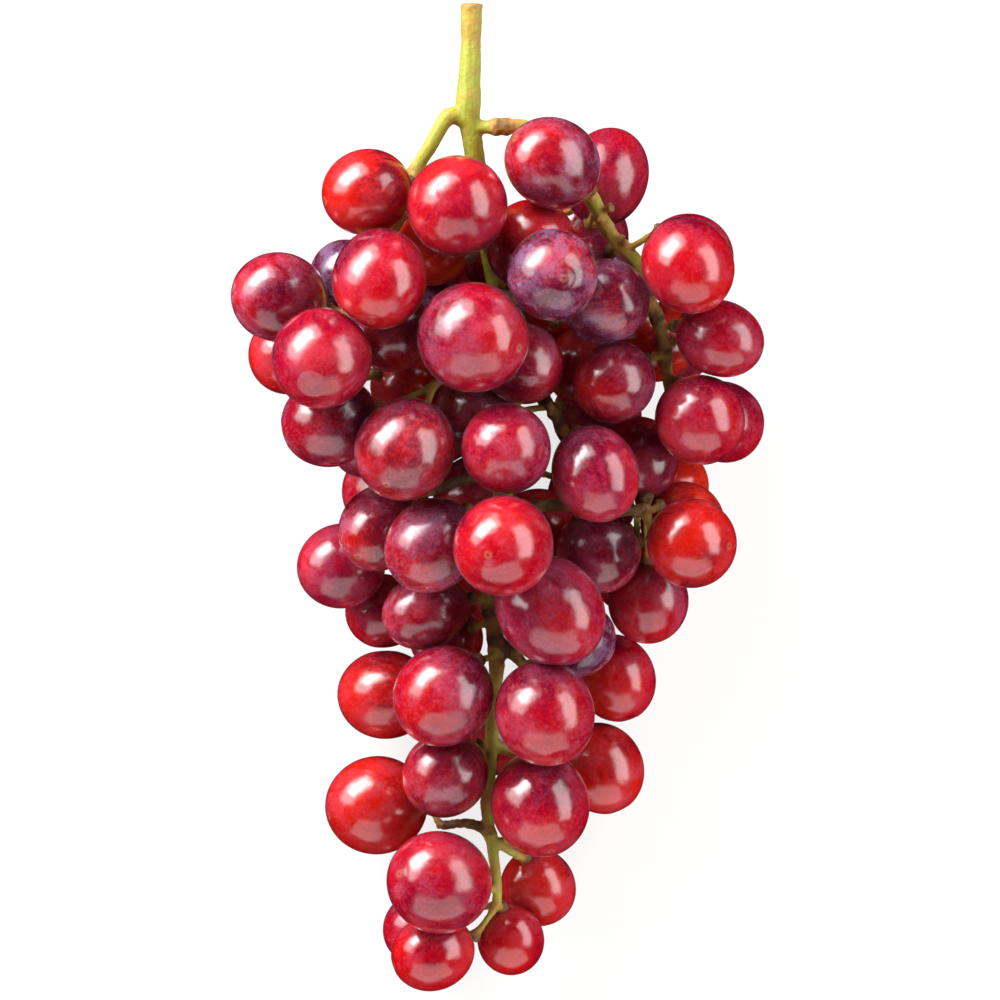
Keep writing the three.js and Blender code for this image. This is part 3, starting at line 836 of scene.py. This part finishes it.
@dataclass(frozen=True)
class WaxedGrapeSkin:
    """Skin of a ripe table grape over clear flesh, a thin waxy film. Sizes are in millimetres."""

    ripe_colour: str = "#300824"
    # Colour of the clear flesh, also used for the painted glow of light through the flesh on the inward side
    flesh_and_glow_colour: str = "#BE1A04"
    bloom_colour: str = "#8C78A0"
    fleck_colour: str = "#B04A60"
    speck_colour: str = "#35100F"
    scar_colour: str = "#4A2416"
    ring_colour: str = "#D08E6A"
    sheen_colour: str = "#C0B4E0"
    patch_width: float = 12.0
    streak_width: float = 0.7
    streaks_per_metre: float = 180.0
    grain_width: float = 0.8
    grain_depth: float = 0.024
    wave_width: float = 4.0
    wave_depth: float = 0.2
    cloud_width: float = 6.0
    fleck_spacing: float = 1.7
    speck_spacing: float = 5.0
    shoulder_height: float = 11.0
    light_depth: float = 8.0
    clean_roughness: float = 0.16
    bloom_roughness: float = 0.7
    ior: float = 1.46

    def build(self) -> bpy.types.Material:
        """Builds the material.

        Returns:
            The material.
        """
        # To the eye it is glossy where it was touched and milky violet where its bloom is left, and light
        # that goes into the flesh comes out again red
        material, add = new_material("waxed_grape_skin")
        place = add("Attribute", out="Vector", attribute_name="berry_place")
        seed = add("Attribute", out="Fac", attribute_name="berry_seed")
        offset = add("CombineXYZ", {0: seed, 1: seed})
        pattern = add("VectorMath", {0: place, 1: offset}, operation="ADD")
        flat = add("VectorMath", {0: place, 1: (1, 1, 0)}, operation="MULTIPLY")
        height = add("SeparateXYZ", {0: place}, out=2)
        # Width, detail, roughness and distortion of each noise
        patches, grain, waves, clouds = (
            add("TexNoise", {"Vector": pattern, "Scale": 1 / (width * MM), "Detail": detail,
                             "Roughness": rough, "Distortion": distortion}, out="Fac")
            for width, detail, rough, distortion in (
                (self.patch_width, 3.0, 0.5, 0.0),
                (self.grain_width, 4.0, 0.7, 0.0),
                (self.wave_width, 1.0, 0.5, 0.0),
                (self.cloud_width, 4.0, 0.5, 0.4),
            ))
        streaks = self.streaks(add, flat, pattern)
        tone = self.tone(add, height, (streaks, patches, grain))
        bloom = self.bloom(add, clouds, grain)
        colour = add("Attribute", out="Color", attribute_name="skin_colour")
        layers = self.ripeness(add, tone, grain) + self.dots(add, pattern)
        layers += [(bloom, self.bloom_colour), *self.scar(add, flat, height)]
        for share, tint in layers:
            colour = add("Mix", {0: share, 6: colour, 7: linear(tint)}, out=2, data_type="RGBA")
        waved = add("Bump", {"Height": waves, "Strength": 1.0, "Distance": self.wave_depth * MM})
        bump = add("Bump", {
            "Height": grain, "Strength": 1.0, "Distance": self.grain_depth * MM, "Normal": waved})
        shader = add("BsdfPrincipled", {
            "Base Color": colour,
            "Roughness": add("MapRange", {0: bloom, 3: self.clean_roughness, 4: self.bloom_roughness}),
            "IOR": self.ior,
            "Normal": bump,
            "Coat Normal": bump,
            "Specular IOR Level": 0.35,
            "Subsurface Weight": 0.85,
            "Subsurface Radius": (1.0, 0.12, 0.1),
            "Subsurface Scale": self.light_depth * MM,
            "Sheen Weight": 0.22,
            "Sheen Roughness": 0.16,
            "Sheen Tint": linear(self.sheen_colour),
            "Coat Weight": 1.0,
            "Coat Roughness": 0.19,
            "Coat IOR": 1.5,
        })
        add("OutputMaterial", {"Surface": shader})
        return material

    def streaks(self, add: AddNode, flat: Socket, pattern: Socket) -> Socket:
        """Draws fine streaks from the stalk to the scar.

        Args:
            add: Adds a node to the skin.
            flat: Place in the berry, without its height.
            pattern: Place in the pattern.

        Returns:
            The streaks.
        """
        way = add("VectorMath", {0: flat}, operation="NORMALIZE")
        around = add("VectorMath", {0: way, "Scale": MOULD_RADIUS / self.streak_width}, operation="SCALE")
        length = add("VectorMath", {0: pattern, 1: (0, 0, self.streaks_per_metre)}, operation="MULTIPLY")
        place = add("VectorMath", {0: around, 1: length}, operation="ADD")
        return add("TexNoise", {"Vector": place, "Scale": 1.0, "Detail": 3.0, "Distortion": 0.5}, out="Fac")

    def tone(self, add: AddNode, height: Socket, marks: tuple[Socket, Socket, Socket]) -> Socket:
        """Mixes the marks. The skin is darker towards the stalk end, and the side that faces the inside of
        the bunch gets a painted glow, clearer and more orange, for light shining through the flesh.

        Args:
            add: Adds a node to the skin.
            height: Height in the berry.
            marks: Streaks, broad patches and fine grain.

        Returns:
            The tone, from ripe at 0 to clear at 1.
        """
        shoulder = add("MapRange", {
            0: height, 1: -self.shoulder_height * MM, 2: self.shoulder_height * MM, 3: -0.26, 4: 0.2,
        }, interpolation_type="SMOOTHSTEP")
        # How much the skin faces the inside of the bunch, for the painted glow: light through the flesh
        # painted into the colour
        shade = add("Attribute", out="Fac", attribute_name="skin_shade")
        # Start and weights that leave the mean tone near the middle
        total = -0.65
        for source, weight in zip((*marks, shoulder, shade), (0.85, 1.5, 0.9, 1.0, 0.42)):
            total = add("Math", {0: source, 1: weight, 2: total}, operation="MULTIPLY_ADD")
        return add("MapRange", {0: total, 1: 0.62, 2: 1.47})

    def ripeness(self, add: AddNode, tone: Socket, grain: Socket) -> list[Layer]:
        """Darkens the ripe parts of the skin, lets the flesh through the clear ones, among them the painted
        glow on the inward side, and mottles all of it.

        Args:
            add: Adds a node to the skin.
            tone: From ripe at 0 to clear at 1.
            grain: Fine grain that the mottling follows.

        Returns:
            The share and the colour of each layer.
        """
        # Source, its range, the shares at both ends of it and the colour
        return [
            (add("MapRange", {0: source, 1: start, 2: end, 3: first, 4: last}), tint)
            for source, start, end, first, last, tint in (
                (tone, 0.0, 0.45, 0.7, 0.0, self.ripe_colour),
                # The flesh colour here is also the painted glow of light through the flesh on the inward side
                (tone, 0.5, 1.0, 0.0, 0.8, self.flesh_and_glow_colour),
                (grain, 0.52, 0.76, 0.0, 0.2, self.fleck_colour),
            )]

    def dots(self, add: AddNode, pattern: Socket) -> list[Layer]:
        """Adds the small pores of the skin and a few brown specks.

        Args:
            add: Adds a node to the skin.
            pattern: Place in the pattern.

        Returns:
            The share and the colour of each layer.
        """
        layers = []
        # Spacing, colour, radius as a share of the spacing and strength
        for spacing, tint, radius, strength in (
            (self.fleck_spacing, self.fleck_colour, 0.11, 0.55),
            (self.speck_spacing, self.speck_colour, 0.06, 0.8),
        ):
            cells = add("TexVoronoi", {"Vector": pattern, "Scale": 1 / (spacing * MM)}, out="Distance")
            share = add("MapRange", {0: cells, 1: radius, 2: radius * 0.5, 3: 0.0, 4: strength})
            layers.append((share, tint))
        return layers

    def bloom(self, add: AddNode, clouds: Socket, grain: Socket) -> Socket:
        """Spreads the waxy bloom in clouds that handling rubbed off in places. Its amount is raised on each
        berry's outer flank, where that extra bloom is a painted violet sheen.

        Args:
            add: Adds a node to the skin.
            clouds: Its clouds.
            grain: Fine grain that breaks them up.

        Returns:
            How much bloom there is, from 0 to 1.
        """
        # The bloom's amount, with the painted violet sheen on the outer flank
        amount = add("Attribute", out="Fac", attribute_name="skin_bloom")
        broken = add("Math", {0: grain, 1: 0.5, 2: clouds}, operation="MULTIPLY_ADD")
        cover = add("MapRange", {0: broken, 1: 0.66, 2: 1.0, 3: 0.0, 4: 0.6})
        return add("Math", {0: cover, 1: amount}, operation="MULTIPLY")

    def scar(self, add: AddNode, flat: Socket, height: Socket) -> list[Layer]:
        """Adds the small brown scar at the far end, with its pale ring.

        Args:
            add: Adds a node to the skin.
            flat: Place in the berry, without its height.
            height: Height in the berry.

        Returns:
            The share and the colour of each layer.
        """
        radius = add("VectorMath", {0: flat}, out="Value", operation="LENGTH")
        is_far = add("Math", {0: height, 1: 0.0}, operation="GREATER_THAN")
        amount = add("Attribute", out="Fac", attribute_name="berry_scar")
        far = add("Math", {0: is_far, 1: amount}, operation="MULTIPLY")
        layers = []
        # Colour, inner and outer radius in millimetres and strength
        for tint, inner, outer, strength in (
            (self.ring_colour, 0.5, 1.2, 0.3),
            (self.scar_colour, 0.22, 0.5, 0.75),
        ):
            ring = add("MapRange", {0: radius, 1: outer * MM, 2: inner * MM, 3: 0.0, 4: strength})
            layers.append((add("Math", {0: ring, 1: far}, operation="MULTIPLY"), tint))
        return layers


@dataclass(frozen=True)
class GreenStalk:
    """Fresh stalk of a vine, a fibrous green skin that turns to brown cork at the joints. Sizes are in
    millimetres."""

    young: str = "#A6A830"
    green: str = "#84882A"
    tan: str = "#A87B32"
    brown: str = "#5A3A1C"
    roughness: float = 0.55
    patch_width: float = 3.0
    fibre_width: float = 0.6
    fibre_stretch: float = 0.12
    wart_width: float = 0.9
    wart_depth: float = 0.25
    light_depth: float = 1.2

    def build(self) -> bpy.types.Material:
        """Builds the material.

        Returns:
            The material.
        """
        # To the eye it is matt and a little waxy, yellow-green along its fibres, rough and brown where it
        # branches
        material, add = new_material("green_stalk")
        place = add("TexCoord", out="Object")
        lengthwise = add("Mapping", {"Vector": place, "Scale": (1, self.fibre_stretch, 1)})
        # Place, width, detail and roughness of each noise
        patches, fibres, warts = (
            add("TexNoise", {
                "Vector": where, "Scale": 1 / (width * MM), "Detail": detail, "Roughness": rough}, out="Fac")
            for where, width, detail, rough in (
                (place, self.patch_width, 4.0, 0.5),
                (lengthwise, self.fibre_width, 2.0, 0.5),
                (place, self.wart_width, 3.0, 0.6),
            ))
        cork = add("Attribute", out="Fac", attribute_name="cork")
        # Cork with an uneven edge: the patches are near a half, so that the start takes off what they add
        level = -0.35
        for source, weight in ((patches, 0.7), (cork, 1.0), (warts, 0.5)):
            level = add("Math", {0: source, 1: weight, 2: level}, operation="MULTIPLY_ADD")
        colour = linear(self.young)
        for source, start, end, tint in (
            (fibres, 0.25, 0.85, self.green),
            (level, 0.42, 0.75, self.tan),
            (level, 0.75, 1.2, self.brown),
        ):
            share = add("MapRange", {0: source, 1: start, 2: end})
            colour = add("Mix", {0: share, 6: colour, 7: linear(tint)}, out=2, data_type="RGBA")
        shader = add("BsdfPrincipled", {
            "Base Color": colour,
            "Roughness": self.roughness,
            "Normal": add("Bump", {"Height": warts, "Strength": 0.7, "Distance": self.wart_depth * MM}),
            "Subsurface Weight": 0.2,
            "Subsurface Radius": (1.0, 0.9, 0.3),
            "Subsurface Scale": self.light_depth * MM,
        })
        add("OutputMaterial", {"Surface": shader})
        return material


@dataclass
class BerryMould:
    """The berry that every other berry is copied from. Its far end, with the scar, points along +Z, and it
    has a dimple under its stalk."""

    radius: float = MOULD_RADIUS
    segments: int = 32
    rings: int = 22
    dimple_depth: float = 0.35
    scar_depth: float = 0.12
    dimple_inset: float = 0.25
    pole_rings: float = 1.6

    def build(self) -> Piece:
        """Shapes the berry from a sphere.

        Returns:
            The mould, with its centre at the origin.
        """
        deselect_all()
        bpy.ops.mesh.primitive_uv_sphere_add(
            segments=self.segments, ring_count=self.rings, radius=self.radius * MM, location=(0, 0, 0))
        mould = bpy.context.object
        mould.name = "berry_mould"
        self.press_pole(mould, -1, self.dimple_depth)
        self.press_pole(mould, 1, self.scar_depth)
        select_only(mould)
        apply_modifier(mould, "SUBSURF", levels=1, render_levels=1)
        bpy.ops.object.shade_smooth()
        return mould

    def press_pole(self, mould: Piece, side: int, depth: float) -> None:
        """Presses a small dimple in one end.

        Args:
            mould: The berry.
            side: -1 for the stalk's end, 1 for the far end.
            depth: Depth of the dimple in millimetres.
        """
        limit = math.cos(self.pole_rings * math.pi / self.rings) * self.radius * MM
        for polygon in mould.data.polygons:
            polygon.select = side * polygon.center.z > limit
        for vertex in mould.data.vertices:
            vertex.select = False
        select_only(mould)
        bpy.ops.object.mode_set(mode="EDIT")
        bpy.ops.mesh.select_mode(type="FACE")
        bpy.ops.mesh.inset(thickness=self.dimple_inset * MM)
        bpy.ops.transform.translate(value=(0, 0, -side * depth * MM))
        bpy.ops.object.mode_set(mode="OBJECT")


@dataclass
class BerryCluster:
    """The berries of one group as one piece."""

    group: Group
    layout: Layout
    blend: float = 0.8
    contact_gap: float = 0.03
    unevenness: float = 0.012
    wave_count: int = 4
    wave_turn: float = 1.4
    wave_phase: float = 6.28
    press_range: float = 1.0
    # Extra bloom on the outer flank, a painted violet sheen along that edge
    flank_painted_sheen: float = 0.6
    first_seed: int = 900
    pattern_step: float = 0.037

    def build(self, mould: Piece, number: int) -> Piece:
        """Copies the mould for each berry, shapes each copy and joins them.

        Args:
            mould: The berry to copy.
            number: Number of the first berry, which its pattern starts from.

        Returns:
            The piece.
        """
        members = enumerate(self.group.members, number)
        copies = [self.copy_berry(mould, berry, place) for place, berry in members]
        select_only(*copies)
        if len(copies) > 1:
            bpy.ops.object.join()
        piece = bpy.context.object
        piece.name = f"grapes_{self.group.name}"
        piece.data.name = piece.name
        return piece

    def copy_berry(self, mould: Piece, berry: Berry, number: int) -> Piece:
        """Copies the mould to one berry's place, size and turn, and presses it against its neighbours.

        Args:
            mould: The berry to copy.
            berry: Where and how large the copy is.
            number: Number that the copy's pattern starts from.

        Returns:
            The copy, at the origin, with its place in its mesh.
        """
        select_only(mould)
        bpy.ops.object.duplicate(linked=False)
        copy = bpy.context.object
        mesh = copy.data
        count = len(mesh.vertices)
        places = np.zeros(count * 3)
        mesh.vertices.foreach_get("co", places)
        places = places.reshape(-1, 3) / (MOULD_RADIUS * MM)
        rng = np.random.default_rng(self.first_seed + number)
        for _ in range(self.wave_count):
            way = rng.normal(size=3)
            wave = np.sin(places @ way * self.wave_turn + rng.uniform(0, self.wave_phase))
            places *= 1 + self.unevenness * 0.5 * wave[:, None]
        places *= (berry.width, berry.width, berry.length)
        local = places.copy()
        turn = np.array(Vector((0, 0, 1)).rotation_difference(Vector(berry.axis)).to_matrix())
        places = self.press(places @ turn.T, berry) + np.array(berry.centre)
        places[:, 2] = np.maximum(places[:, 2], 0)
        mesh.vertices.foreach_set("co", (places * MM).ravel())
        mesh.update()
        outward = places - np.array(berry.centre)
        outward /= np.linalg.norm(outward, axis=1)[:, None]
        self.mark(mesh, local, berry, number, outward)
        return copy

    def press(self, places: np.ndarray, berry: Berry) -> np.ndarray:
        """Flattens a berry softly where another one presses on it and where it rests.

        Args:
            places: Its vertices from its centre, in millimetres.
            berry: The berry.

        Returns:
            The vertices after pressing.
        """
        planes = [((0.0, 0.0, -1.0), berry.centre[2])]
        for other in self.layout.berries:
            reach = berry.length + other.length + self.press_range
            if other is berry or span(other.centre, berry.centre) > reach:
                continue
            line = unit(minus(other.centre, berry.centre))
            own = berry.reach(line)
            planes.append((line, own + space_between(berry, other) / 2 - self.contact_gap))
        for line, flat in planes:
            direction = np.array(line)
            beyond = places @ direction - flat
            soft = np.where(beyond > self.blend, 0, beyond - (beyond + self.blend) ** 2 / (4 * self.blend))
            target = np.where(beyond > -self.blend, soft, beyond)
            places = places - (beyond - target)[:, None] * direction
        return places

    def mark(self, mesh: Mesh, local: np.ndarray, berry: Berry, number: int, outward: np.ndarray) -> None:
        """Stores what the skin's pattern follows. The side that faces the inside of the bunch gets a painted
        glow, an orange that stands in for light shining through the flesh, and the outer flank gets extra
        bloom as a painted violet sheen.

        Args:
            mesh: Mesh of the berry.
            local: Its vertices in the berry's own frame, in millimetres.
            berry: The berry.
            number: Number that its pattern starts from.
            outward: Direction of each vertex from the centre.
        """
        count = len(mesh.vertices)
        across, up = BUNCH_MIDDLE[0] - berry.centre[0], BUNCH_MIDDLE[1] - berry.centre[2]
        inward = np.array(unit((across, 0, up)))
        # The outer flank gets extra bloom, a painted violet sheen along that edge
        flank = np.clip(outward[:, 0] * -math.copysign(1, across), 0, 1) ** 2
        bloom = np.minimum(berry.bloom * (1 + self.flank_painted_sheen * flank), 1)
        store(mesh, "berry_place", (local * MM).ravel(), "FLOAT_VECTOR", "vector")
        store(mesh, "berry_seed", np.full(count, self.pattern_step * number))
        store(mesh, "skin_colour", np.tile(linear(berry.skin.value), count), "FLOAT_COLOR", "color")
        store(mesh, "berry_scar", np.full(count, berry.scar))
        # Painted glow: how much each vertex faces the inside of the bunch
        store(mesh, "skin_shade", np.clip(outward @ inward, 0, 1))
        store(mesh, "skin_bloom", bloom)

    def dress(self, piece: Piece, skin: bpy.types.Material) -> None:
        """Gives the piece its skin and its place in the part.

        Args:
            piece: The piece.
            skin: Its material.
        """
        piece.data.materials.clear()
        piece.data.materials.append(skin)
        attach(piece, "root")
        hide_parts(f"berries_{self.group.name}")


# Each end of a pedicel, as the distance from that end, the radius and the cork. The second one swells to the
# warty receptacle under the berry.
PEDICEL_START = ((0, 1.15, 0.4), (1.2, 0.95, 0.35), (3, PEDICEL_RADIUS, 0.2))
PEDICEL_END = ((3.6, 0.8, 0.3), (2.4, 0.95, 0.5), (1.5, 1.45, 0.9), (0.9, 1.8, 1.0), (0, 1.2, 0.9))
PEDICEL_SHORT = (1.15, 0.5)
PEDICEL_SPARE = 0.1
# A stub, as the share of its length and the radius
STUB_PROFILE = ((0, 1.0), (0.45, 0.7), (0.75, 0.95), (0.9, 1.2), (1.0, 0.8))


@dataclass
class Stem:
    """Peduncle, rachis, branches and pedicels, grown as one piece."""

    layout: Layout
    voxel: float = 0.4
    step: float = 1.0
    pedicel_bow: float = 1.2
    pedicel_depth: float = 0.5
    ring_spacing: tuple[float, float] = (0.8, 0.4)
    wart_spacing: float = 1.1
    wart_height: float = 0.55
    wart_level: float = 0.45
    wart_share: tuple[float, float] = (0.1, 0.09)
    cork_reach: float = 0.3
    cork_neighbours: int = 3
    cork_steps: int = 10
    cork_places: list[tuple[Point, float]] = field(default_factory=list)

    def build(self) -> Piece:
        """Draws every stalk as a round curve and grows them together.

        Returns:
            The stem.
        """
        deselect_all()
        bpy.ops.curve.primitive_nurbs_path_add(location=(0, 0, 0))
        stem = bpy.context.object
        stem.name = "stalks"
        curve = stem.data
        curve.splines.clear()
        curve.bevel_depth = MM
        curve.bevel_resolution = 3
        curve.use_fill_caps = True
        for stalk in STALKS:
            self.draw_stalk(curve, stalk)
        for berry in self.layout.berries:
            self.draw_pedicel(curve, berry)
        for root, end in STUBS:
            self.draw_stub(curve, root, end)
        select_only(stem)
        bpy.ops.object.convert(target="MESH")
        stem = bpy.context.object
        apply_modifier(stem, "REMESH", mode="VOXEL", voxel_size=self.voxel * MM)
        apply_modifier(stem, "SMOOTH", iterations=2)
        self.grow_cork(stem)
        bpy.ops.object.shade_smooth()
        return stem

    def draw(self, curve: bpy.types.Curve, line: list[tuple[Point, float]]) -> None:
        """Adds one round line to the curve.

        Args:
            curve: The curve.
            line: Places along it and its radius at each of them, in millimetres.
        """
        spline = curve.splines.new("POLY")
        spline.points.add(len(line) - 1)
        for knot, (place, radius) in zip(spline.points, line):
            knot.co = (place[0] * MM, place[1] * MM, place[2] * MM, 1)
            knot.radius = radius

    def draw_stalk(self, curve: bpy.types.Curve, stalk: Stalk) -> None:
        """Adds a stalk with its swellings.

        Args:
            curve: The curve.
            stalk: The stalk.
        """
        path = smooth_line(stalk.points, self.step)
        whole = sum(span(here[0], there[0]) for here, there in zip(path, path[1:]))
        line = []
        for place, share in path:
            radius = stalk.start_radius + (stalk.end_radius - stalk.start_radius) * share
            cork = stalk.start_cork + (stalk.end_cork - stalk.start_cork) * share
            for knob in stalk.knobs:
                swelling = math.exp(-((share - knob.share) * whole / knob.length) ** 2)
                radius += knob.extra * swelling
                cork += knob.cork * swelling
            line.append((place, radius))
            self.cork_places.append((place, min(cork, 1.0)))
        self.draw(curve, line)

    def draw_pedicel(self, curve: bpy.types.Curve, berry: Berry) -> None:
        """Adds the pedicel of a berry, unless other berries bury it.

        Args:
            curve: The curve.
            berry: The berry that hangs on it.
        """
        stand_off = berry.length * CORNER_REACH + PIECE_GAP + PEDICEL_SPARE
        root, crossing = self.layout.pedicel_root(along(berry.centre, berry.axis, -stand_off))
        if crossing > CROSSING_LIMIT:
            return
        end = along(berry.centre, berry.axis, -(berry.length - self.pedicel_depth))
        line = unit(minus(end, root.place))
        length = span(end, root.place)
        first = [(length - behind, radius, cork) for behind, radius, cork in PEDICEL_START]
        long_gap, short_gap = self.ring_spacing
        first = [row for row in first if row[0] > PEDICEL_END[0][0] + long_gap] or [(length, *PEDICEL_SHORT)]
        stalk = []
        for before, radius, cork in first + [row for row in PEDICEL_END if row[0] < length - short_gap]:
            share = before / length
            sag = self.pedicel_bow * share * (1 - share)
            place = along(root.place, line, length - before)
            place = (place[0], place[1] - sag, place[2])
            stalk.append((place, radius))
            self.cork_places.append((place, cork))
        self.draw(curve, stalk)

    def draw_stub(self, curve: bpy.types.Curve, root: Point, end: Point) -> None:
        """Adds a short stub that lost its berry.

        Args:
            curve: The curve.
            root: Where it leaves its stalk.
            end: Its brown end.
        """
        line = minus(end, root)
        self.draw(curve, [(along(root, line, share), radius) for share, radius in STUB_PROFILE])
        self.cork_places += [(along(root, line, 0.5), 0.3), (end, 0.85)]

    def grow_cork(self, stem: Piece) -> None:
        """Spreads the cork over the stem and roughens it with warts.

        Args:
            stem: The stem.
        """
        mesh = stem.data
        tree = KDTree(len(self.cork_places))
        for index, (place, _) in enumerate(self.cork_places):
            tree.insert(Vector(place) * MM, index)
        tree.balance()
        values = []
        for vertex in mesh.vertices:
            near = tree.find_n(vertex.co, self.cork_neighbours)
            weights = [1 / (distance + self.cork_reach * MM) ** 2 for _, _, distance in near]
            level = sum(weight * self.cork_places[index][1] for weight, (_, index, _) in zip(weights, near))
            values.append(level / sum(weights))
        store(mesh, "cork", np.array(values))
        group = stem.vertex_groups.new(name="cork")
        # The warts are almost flat on the green skin and full size on the cork
        least, rise = self.wart_share
        for step in range(self.cork_steps + 1):
            members = [index for index, value in enumerate(values) if round(value * self.cork_steps) == step]
            if members:
                group.add(members, least + rise * step, "REPLACE")
        warts = bpy.data.textures.new("warts", type="VORONOI")
        warts.noise_scale = self.wart_spacing * MM
        warts.distance_metric = "DISTANCE"
        apply_modifier(stem, "DISPLACE", texture=warts, texture_coords="LOCAL", vertex_group="cork",
                       mid_level=self.wart_level, strength=self.wart_height * MM)

    def dress(self, stem: Piece, bark: bpy.types.Material) -> None:
        """Gives the stem its bark and its place in the part.

        Args:
            stem: The stem.
            bark: Its material.
        """
        stem.data.materials.clear()
        stem.data.materials.append(bark)
        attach(stem, "root")
        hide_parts("stem")


# Name, place and size in metres and power in watts
LIGHTS = (
    ("key_softbox", (-0.52, 0.5, 0.38), (1.2, 0.6), 12.0),
    ("key_core", (-0.44, 0.48, 0.36), (0.55, 0.3), 7.0),
    ("right_softbox", (0.62, 0.16, 0.42), (1.0, 0.46), 7.0),
    ("low_panel", (0.0, -0.68, 0.34), (1.3, 0.8), 5.5),
)


@dataclass
class Studio:
    """Pale floor, soft lights and the camera that looks straight down at the bunch."""

    picture_width: float = 220.0
    lens: float = 300.0
    sensor: float = 36.0
    far_clip: float = 20.0
    middle_height: float = 42.0
    camera_x: float = 0.2
    light_target: float = 0.04
    floor_size: float = 8.0
    floor_gap: float = 0.2
    floor_glow: float = 0.78
    surrounding_light: float = 0.21

    def build(self) -> None:
        """Sets up the floor, the lights, the surroundings and the camera."""
        self.lay_floor()
        for row in LIGHTS:
            self.hang_light(*row)
        self.paint_surroundings()
        self.set_camera()

    def lay_floor(self) -> None:
        """Lays the pale floor just under the bunch."""
        deselect_all()
        bpy.ops.mesh.primitive_plane_add(size=self.floor_size, location=(0, 0, -self.floor_gap * MM))
        floor = bpy.context.object
        floor.name = "floor"
        # To the eye it is matt white paper, lit so evenly that only the shadows under the bunch show on it
        material, add = new_material("white_paper")
        shader = add("BsdfPrincipled", {
            "Base Color": linear("#7C7C7A"), "Roughness": 0.9, "Emission Color": linear("#FFFFFF"),
            "Emission Strength": self.floor_glow})
        add("OutputMaterial", {"Surface": shader})
        floor.data.materials.append(material)
        floor.visible_glossy = False

    def hang_light(self, name: str, place: Point, size: tuple[float, float], power: float) -> None:
        """Hangs a soft light that faces the middle of the bunch.

        Args:
            name: Name of the light.
            place: Its place in metres.
            size: Its width and height in metres.
            power: Its power in watts.
        """
        deselect_all()
        bpy.ops.object.light_add(type="AREA", location=place)
        light = bpy.context.object
        light.name = name
        light.data.shape = "RECTANGLE"
        light.data.size, light.data.size_y = size
        light.data.energy = power
        target = Vector((0, 0, self.light_target))
        light.rotation_euler = (Vector(place) - target).to_track_quat("Z", "Y").to_euler()

    def paint_surroundings(self) -> None:
        """Paints plain pale surroundings that light the bunch from everywhere a little."""
        world = bpy.data.worlds.new("studio")
        bpy.context.scene.world = world
        world.use_nodes = True
        tree = world.node_tree
        tree.nodes.clear()
        shade = add_node(tree, "Background", {"Color": linear("#FFFFFF"), "Strength": self.surrounding_light})
        add_node(tree, "OutputWorld", {"Surface": shade})
        world.cycles_visibility.glossy = False

    def set_camera(self) -> None:
        """Sets the camera over the bunch, so that the picture is as wide as the photograph."""
        distance = self.picture_width * self.lens / self.sensor
        deselect_all()
        height = self.middle_height + distance
        bpy.ops.object.camera_add(location=(self.camera_x * MM, 0, height * MM), rotation=(0, 0, 0))
        camera = bpy.context.object
        camera.name = "camera"
        camera.data.lens = self.lens
        camera.data.sensor_width = self.sensor
        camera.data.clip_end = self.far_clip
        bpy.context.scene.camera = camera
        bpy.context.scene.view_settings.view_transform = "Standard"


def main() -> None:
    """Builds the bunch and the studio, and reports each piece."""
    logging.basicConfig(level=logging.INFO, format="%(message)s")
    layout = Layout()
    layout.lay_out()
    LOG.info("laid out %d berries in %d groups", len(layout.berries), len(layout.groups))
    skin = WaxedGrapeSkin().build()
    mould = BerryMould().build()
    number = 0
    for group in layout.groups:
        cluster = BerryCluster(group, layout)
        piece = cluster.build(mould, number)
        cluster.dress(piece, skin)
        number += len(group.members)
        low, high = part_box(f"berries_{group.name}")
        places = np.array([vertex.co for vertex in piece.data.vertices])
        off = max(np.abs(places.min(axis=0) - low).max(), np.abs(places.max(axis=0) - high).max()) / MM
        LOG.info("%s: %d berries, %d faces, %.1f mm off its node", piece.name, len(group.members),
                 len(piece.data.polygons), off)
    bpy.data.objects.remove(mould)
    stem = Stem(layout)
    stalks = stem.build()
    stem.dress(stalks, GreenStalk().build())
    LOG.info("%s: %d faces", stalks.name, len(stalks.data.polygons))
    Studio().build()


if __name__ == "__main__":
    main()
